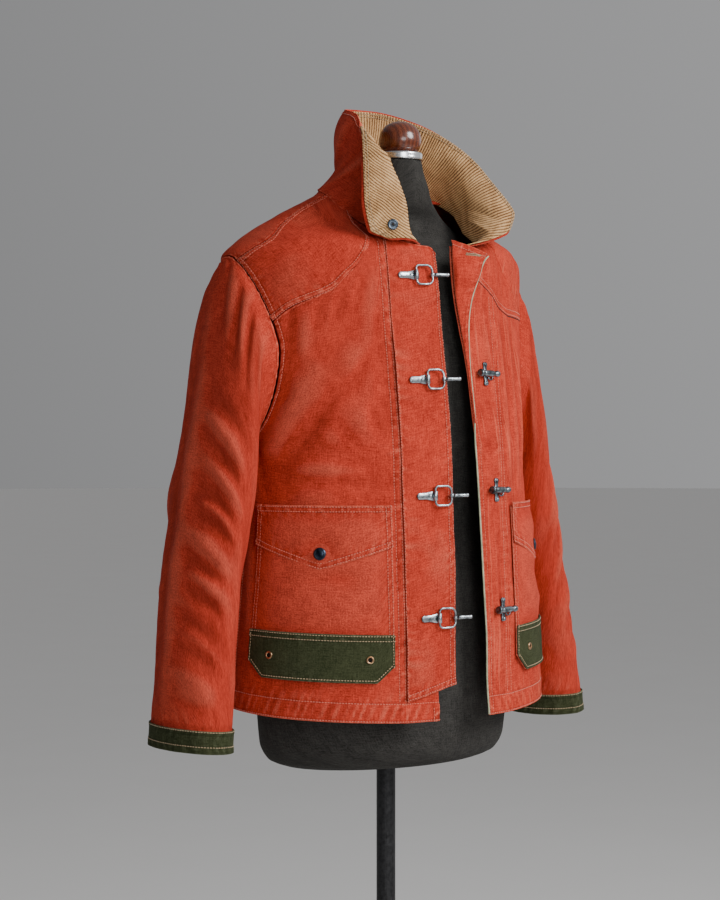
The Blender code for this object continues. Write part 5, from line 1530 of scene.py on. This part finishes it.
def make_trim(side):
    """Snap and eyelets of one pocket, with painted shadow discs in the eyelets' holes."""
    name = SIDES[side]
    at, face = plot(side, POCKET_MIDDLE, np.array(FLAP_TIP_Z + SNAP_UP))
    at = at + face * (PATCH_HIGH + 0.002 + GAP + TRIM_LIFT)
    cap = arc_profile([(SNAP_R * share, high) for share, high in SNAP_CAP] + [(0.0004, 0.0032)])
    hard(f"flap_snap_{name}", lathe(cap, at, face, 40), "snap_dark")
    for where, g in zip(("inner", "outer"), EYELET_G):
        at, face = plot(side, np.array(g), np.array(POCKET_Z[0] + EYELET_UP))
        at = at + face * (PATCH_HIGH + 0.0016 + GAP + TRIM_LIFT)
        section = arc_profile(((EYELET_HOLE_R, -0.0006), (EYELET_HOLE_R, 0.0006), (EYELET_R * 0.72, 0.0013),
                               (EYELET_R * 0.94, 0.0008), (EYELET_R, 0.0), (EYELET_R * 0.9, -0.0006)))
        points, faces = lathe(section, at, face, 32)
        faces = faces[:-2] + [tuple(range((len(section) - 1) * 32, len(section) * 32))]
        # A dark disc of painted shadow fills each eyelet's opening.
        hole_shadow = lathe(((EYELET_HOLE_R, -0.0002), (0.0003, -0.0002)), at, face, 32)
        hard(f"eyelet_{where}_{name}", (points, faces), "eyelet_brass")
        hard(f"eyelet_hole_shadow_{where}_{name}", hole_shadow, "shadow", detail=True)


# ---------------------------------------------------------------- clasps and hooks

BAR_OUT = STRIP_T + KNUCKLE_CLEAR + WIRE_R
PLATE_STEPS = np.array([0.0, 0.0004, 0.001, 0.002, 0.0034])
PLATE_HALF_W = ([0.0006, 0.002, 0.003, 0.0037] + [0.0041] * 4 + [0.0042, 0.0047, 0.0053, 0.0057]
                + [0.0058] * 16)
RIVET_X = PLATE_L / 2 - 0.0062
ROD = (
    # from the rod's root (0) or the tab's tip (1): radius, along
    (0, 0.0022, 0.0), (0, 0.0027, 0.0006), (1, 0.0022, -0.0086), (1, 0.0026, -0.0078),
    (1, 0.0027, -0.005), (1, 0.0018, -0.004), (1, 0.0002, -0.0038),
)
HOOK_HALF = ((0.003, 0.0028), (0.006, 0.0021), (0.01, 0.0023), (0.0125, 0.0028), (0.0138, 0.0026),
             (0.0146, 0.002), (0.015, 0.001))  # up from the bar's middle, half width
HOOK_SECTION = ((-1, 0.0002), (-1, 0.0009), (-0.7, 0.0014), (0.7, 0.0014), (1, 0.0009), (1, 0.0002))
HOOK_BOLD = 1.48  # as much stouter than the solid as the photograph shows
HOOK_RIVET = 0.0013, 0.0019, 0.0012  # out, radius, height
CURL_R = 0.001
BARREL = (
    (0.0009, 0.0006), (0.0016, 0.0001), (0.0034, 0.0003), (0.0035, 0.003), (0.0025, 0.0046), (0.0024, 0.008),
    (0.0028, 0.0092), (0.0028, 0.0262), (0.0022, 0.0278), (0.0017, 0.029), (0.0017, 0.0306), (0.0027, 0.0324),
    (0.0029, 0.035), (0.0024, 0.0384), (0.0012, 0.0399), (0.0003, 0.0401),
)


def frame_at(g, z, side, height):
    """A place on the cloth: its middle, the way toward the centre front, out, and up."""
    at, out = shell(g, z, side)
    up = shell(g, z + 0.01, side)[0] - shell(g, z - 0.01, side)[0]
    up = unit(up - out * np.dot(up, out))
    toward = np.cross(up, out)
    if np.dot(toward, shell(g - 0.005, z, side)[0] - at) < 0:
        toward = -toward
    return at + out * height, toward, out, up


def strip(place_at, path, half_widths, thick=STRIP_T):
    """A bent strip with rounded edges; path rows are (toward, out) of its middle line."""
    origin, toward, out, up = place_at
    path = np.asarray(path, float)
    step = unit(np.gradient(path, axis=0))
    normal = np.stack([-step[:, 1], step[:, 0]], -1)
    rings = []
    for p, n, w in zip(path, normal, half_widths):
        e = min(0.3 * thick, 0.4 * w)
        section = ((w - e, 1), (w, 1 - 2 * e / thick), (w, 2 * e / thick - 1), (w - e, -1),
                   (e - w, -1), (-w, 2 * e / thick - 1), (-w, 1 - 2 * e / thick), (e - w, 1))
        rings.append([origin + toward * q[0] + out * q[1] + up * a
                      for a, b in section for q in [p + n * (thick / 2) * b]])
    return tube(rings, closed=False)


def knuckle(bar, sign, wrap=290, steps=16):
    radius = WIRE_R + KNUCKLE_CLEAR + STRIP_T / 2
    angle = np.radians(-90 + np.linspace(0, wrap, steps))
    return [(bar[0] + sign * radius * math.cos(a), bar[1] + radius * math.sin(a)) for a in angle]


def ring_path():
    """The clasp ring's middle line in its own plane, the inner bar at 0: (toward, up)."""
    w, h, r = RING_W, RING_H / 2, 0.0045
    points = []
    for cx, cy, start in ((r, -h + r, 180), (w - r * 1.6, -h + r * 1.6, 270), (w - r * 1.6, h - r * 1.6, 0),
                          (r, h - r, 90)):
        big = r if cx == r else r * 1.6
        for a in np.radians(start + np.linspace(0, 90, 9)):
            points.append((cx + big * math.cos(a), cy + big * math.sin(a)))
    return points


def rivet(place_at, x, out_by, radius, high):
    origin, toward, out, _ = place_at
    rows = (radius, 0), (radius, high * 0.45), (radius * 0.6, high), (radius * 0.12, high * 1.05)
    return lathe(arc_profile(rows, 3), origin + toward * x + out * out_by, out, 16)


def make_clasp(number):
    half = PLATE_L * 0.5
    base = frame_at(CLASP_G[number - 1] + half, CLASP_Z[number - 1], -1, LIFT + FLAP_WALL + 2 * GAP)
    origin, toward, out, up = base
    flat_x = np.concatenate([-half + PLATE_STEPS, np.linspace(-half + 0.006, half * 0.7, 7)])
    plate = strip(base, [(x, STRIP_T / 2) for x in flat_x] + knuckle((half, BAR_OUT), 1), PLATE_HALF_W)
    parts = [plate, rivet(base, -half + 0.0035, STRIP_T, 0.0013, 0.0007),
             rivet(base, RIVET_X, STRIP_T, 0.0023, 0.0011)]
    hard(f"clasp_plate_{number}", joined(parts), "steel_clasp")
    eye = lathe(((0.0031, 0.0), (0.0031, 0.00025), (0.0024, 0.00035)),
                origin + toward * RIVET_X + out * (STRIP_T + 0.00002), out, 24)
    hard(f"clasp_rivet_{number}", eye, "gunmetal", detail=True)
    pivot = origin + toward * half + out * BAR_OUT
    loop = np.array(ring_path())
    rings = []
    for p, step in zip(loop, unit(np.roll(loop, -1, axis=0) - np.roll(loop, 1, axis=0))):
        side_way = toward * step[1] - up * step[0]
        middle = pivot + toward * p[0] + up * p[1]
        rings.append(circle(middle, side_way, out, WIRE_R, 12))
    hard(f"clasp_ring_{number}", tube(rings), "steel_clasp", body=f"ring_{number}")
    far = half + RING_W
    tip = far + TAB_L
    straight = np.concatenate([np.linspace(far + 0.004, tip - 0.003, 7),
                               tip - np.array([0.0018, 0.0008, 0.0002, 0.0])])
    tail = knuckle((far, BAR_OUT), -1)[::-1] + [(x, BAR_OUT - TAB_DROP) for x in straight]
    wide = [TAB_W / 2] * (len(tail) - 4) + [TAB_W * share for share in (0.47, 0.38, 0.25, 0.1)]
    rod = arc_profile([(radius, from_tip * TAB_L + along) for from_tip, radius, along in ROD], 3)
    rod_from = origin + toward * (far + 0.004) + out * (BAR_OUT - TAB_DROP + 0.0016)
    hard(f"clasp_tab_{number}", joined([strip(base, tail, wide, 0.0013), lathe(rod, rod_from, toward, 20)]),
         "steel_clasp", body=f"tab_{number}")


def make_hook(number):
    """A riveted upright bar and the barrel across it; the uppermost one is under the facing."""
    z, bold = CLASP_Z[number - 1] + HOOK_UP[number - 1], 1.0 if number == len(CLASP_Z) else HOOK_BOLD
    origin, toward, out, up = frame_at(float(left_edge(z)) + HOOK_BACK[number - 1], z, 1, 2 * GAP)
    rows = [(-s, w) for s, w in HOOK_HALF[::-1]] + list(HOOK_HALF)
    bar = tube([[origin + up * s + toward * a * w * bold + out * b * bold for a, b in HOOK_SECTION]
                for s, w in rows], closed=False)
    upright = origin, up, out, toward
    parts = [bar] + [rivet(upright, 0.012 * way, *(np.array(HOOK_RIVET) * bold)) for way in (-1, 1)]
    hard(f"hook_bar_{number}", joined(parts), "gunmetal")
    start = origin + toward * BARREL_FORE + out * BARREL_OUT * (0.5 + 0.5 * bold)
    profile = arc_profile([(radius * (bold if radius > 0.001 else 1), high) for radius, high in BARREL], 3)
    curl = []
    for a in np.linspace(-0.4, 2.7, 14):
        middle = origin - toward * (0.005 * math.cos(a) + 0.007) - up * (
            0.0038 * math.sin(a) + 0.0014) * bold + out * 0.003
        way = unit(toward * math.sin(a) - up * math.cos(a))
        curl.append(circle(middle, np.cross(way, out), out, CURL_R, 8))
    barrel = joined([lathe(profile, start, -toward, 24), tube(curl, closed=False)])
    hard(f"hook_barrel_{number}", barrel, "gunmetal")


def make_collar_snap():
    station, share = np.linspace(0, 1, 27), np.linspace(0, 1, 6)
    grid = collar_grid(station, share)
    face = toward_neck(grid, 13)[4, 1]
    at = grid[4, 1] + face * (GAP / 2 + CORD_WALL + GAP + 2 * TRIM_LIFT)
    cap = arc_profile(((0.0064, 0), (0.0068, 0.0003), (0.0067, 0.001), (0.0056, 0.0018), (0.0044, 0.0013),
                       (0.0032, 0.0013), (0.0026, 0.0019), (0.0012, 0.002), (0.0009, 0.0012), (0.0003, 0.0012)))
    hard("collar_snap", lathe(cap, at, face, 40), "snap_steel")
    # A dark disc of painted shadow in the snap's middle opening.
    hole_shadow = lathe(((0.0022, 0.0018), (0.0018, 0.0021), (0.0002, 0.0021)), at, face, 24)
    hard("collar_snap_hole_shadow", hole_shadow, "shadow", detail=True)


# ---------------------------------------------------------------- dress form

RING_HIGH = 0.0108  # from the neck ring's foot to the knob's


def make_form():
    angle = np.linspace(0, 2 * math.pi, 97)
    heights = np.concatenate([np.linspace(*ends) for ends in ((0.8, 0.84, 14), (0.85, 1.44, 90),
                                                              (1.444, 1.5755, 50))])
    values = through(FORM[:, 0], FORM[:, 1:], heights)
    a, mid, front, back = (values[:, k:k + 1] for k in range(4))
    depth = np.where(np.cos(angle)[None] > 0, front, back)
    level_z = np.broadcast_to(heights[:, None], depth.shape)
    points = np.stack([a * np.sin(angle), mid - depth * np.cos(angle), level_z], -1)
    count, around = points.shape[:2]
    uvs = np.stack([runs(points, 1), runs(points, 0)], -1).reshape(-1, 2)
    faces = [tuple(f) for f in grid_faces(count, around)]
    faces += [tuple(range(around - 1))[::-1], tuple(range((count - 1) * around, count * around - 1))]
    obj = mesh_object("form_torso", points.reshape(-1, 3), faces, "form_cloth", uvs,
                      wear=np.zeros(count * around))
    close_seam(obj)
    place(obj, stands_for=["form_torso"])
    ring = arc_profile(((0.0262, 0), (0.029, 0.0004), (0.0296, 0.0022), (0.0294, 0.005), (0.0296, 0.0082),
                        (0.0288, 0.01), (0.0262, 0.0104)))
    base, up = np.array([0, NECK_Y, NECK_TOP_Z + GAP]), (0, 0, 1)
    hard("neck_ring", lathe(ring, base, up, 96), "ring_metal")
    heights = np.concatenate([np.linspace(0, 0.036, 24), np.linspace(0.037, 0.0405, 8)])
    radius = np.concatenate([through(KNOB[:, 0], KNOB[:, 1], heights[:-1]), [0.0005]])
    base = base + np.array([0, 0, RING_HIGH])
    hard("neck_knob", lathe(list(zip(radius, heights)), base, up, 72), "knob_wood")
    for name in ("stand_pole", "stand_foot"):
        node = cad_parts[name]
        node.data.materials.clear()
        node.data.materials.append(MATERIALS["stand_metal"])


# ---------------------------------------------------------------- the piece by piece list

edges = {}
for side in SIDES:
    edges[side] = make_front(side)
    make_yoke(side)
    make_sleeve(side)
    make_pocket(side)
    make_trim(side)
make_back()
make_collar()
make_collar_snap()
make_storm_flap()
make_piping(edges[1], make_facing())
for number in range(1, len(CLASP_Z) + 1):
    make_clasp(number)
    make_hook(number)
make_form()

# ---------------------------------------------------------------- studio

SOFT_SIDE = (0.788, -0.616, 0.2)  # the soft light comes more from this side
SOFT_LEAST, SOFT_MOST = 0.1, 0.85
SENSOR = 36  # mm
FLOOR_R, FLOOR_SIDES, FLOOR_Z = 40, 64, -0.0005
LIGHTS = (
    # name, place, size, power
    ("key", (1.1, -2.6, 2.9), 1.5, 112),
    ("fill", (-1.1, -3.4, 1.9), 1.6, 46),
    ("rim", (-1.2, 2.8, 2.6), 1.4, 6),
    ("edge", (2.9, 0.6, 2.0), 1.2, 3),
)
LIT_SPOT = (0, 0, 1.25)  # where every light is aimed


def make_studio():
    link = bpy.context.scene.collection.objects.link
    camera = bpy.data.objects.new("camera", bpy.data.cameras.new("camera"))
    link(camera)
    look = Vector((-math.sin(VIEW_AZIMUTH), math.cos(VIEW_AZIMUTH), 0))
    camera.location = Vector((0, NECK_Y, EYE_Z)) - look * VIEW_DISTANCE
    camera.rotation_euler = look.to_track_quat("-Z", "Y").to_euler()
    camera.data.sensor_width = SENSOR
    camera.data.lens = SENSOR * FOCUS_PX / FRAME_H
    camera.data.shift_x = (FRAME_W / 2 - AXIS_PX[0]) / FRAME_H
    camera.data.shift_y = (AXIS_PX[1] - FRAME_H / 2) / FRAME_H
    camera.data.clip_end = 100
    bpy.context.scene.camera = camera

    floor = bpy.data.meshes.new("floor")
    turns = [2 * math.pi * k / FLOOR_SIDES for k in range(FLOOR_SIDES)]
    floor.from_pydata([(FLOOR_R * math.cos(a), FLOOR_R * math.sin(a), FLOOR_Z) for a in turns], [],
                      [tuple(range(FLOOR_SIDES))])
    pale = Nodes("pale_floor")
    tone = pale.blend(pale.noise(pale.place(), 3.0), (0.8, 0.79, 0.775), (0.83, 0.82, 0.805))
    pale.finish(Base_Color=tone, Roughness=0.9)
    floor.materials.append(pale.material)
    ground = bpy.data.objects.new("floor", floor)
    link(ground)

    world = bpy.data.worlds.new("studio")
    world.use_nodes = True
    tree = world.node_tree
    background = tree.nodes["Background"]
    background.inputs[0].default_value = (0.64, 0.64, 0.65, 1)
    where = tree.nodes.new("ShaderNodeTexCoord")
    across = tree.nodes.new("ShaderNodeVectorMath")
    across.operation = "DOT_PRODUCT"
    across.inputs[1].default_value = SOFT_SIDE
    tree.links.new(where.outputs["Generated"], across.inputs[0])
    strength = tree.nodes.new("ShaderNodeMapRange")
    for socket, value in zip(strength.inputs[1:5], (-1.0, 1.0, SOFT_LEAST, SOFT_MOST)):
        socket.default_value = value
    tree.links.new(across.outputs["Value"], strength.inputs["Value"])
    tree.links.new(strength.outputs[0], background.inputs[1])
    bpy.context.scene.world = world
    for name, spot, size, power in LIGHTS:
        data = bpy.data.lights.new(name, "AREA")
        data.shape, data.size, data.energy = "DISK", size, power
        light = bpy.data.objects.new(name, data)
        light.location = spot
        light.rotation_euler = (Vector(LIT_SPOT) - Vector(spot)).to_track_quat("-Z", "Y").to_euler()
        link(light)


make_studio()
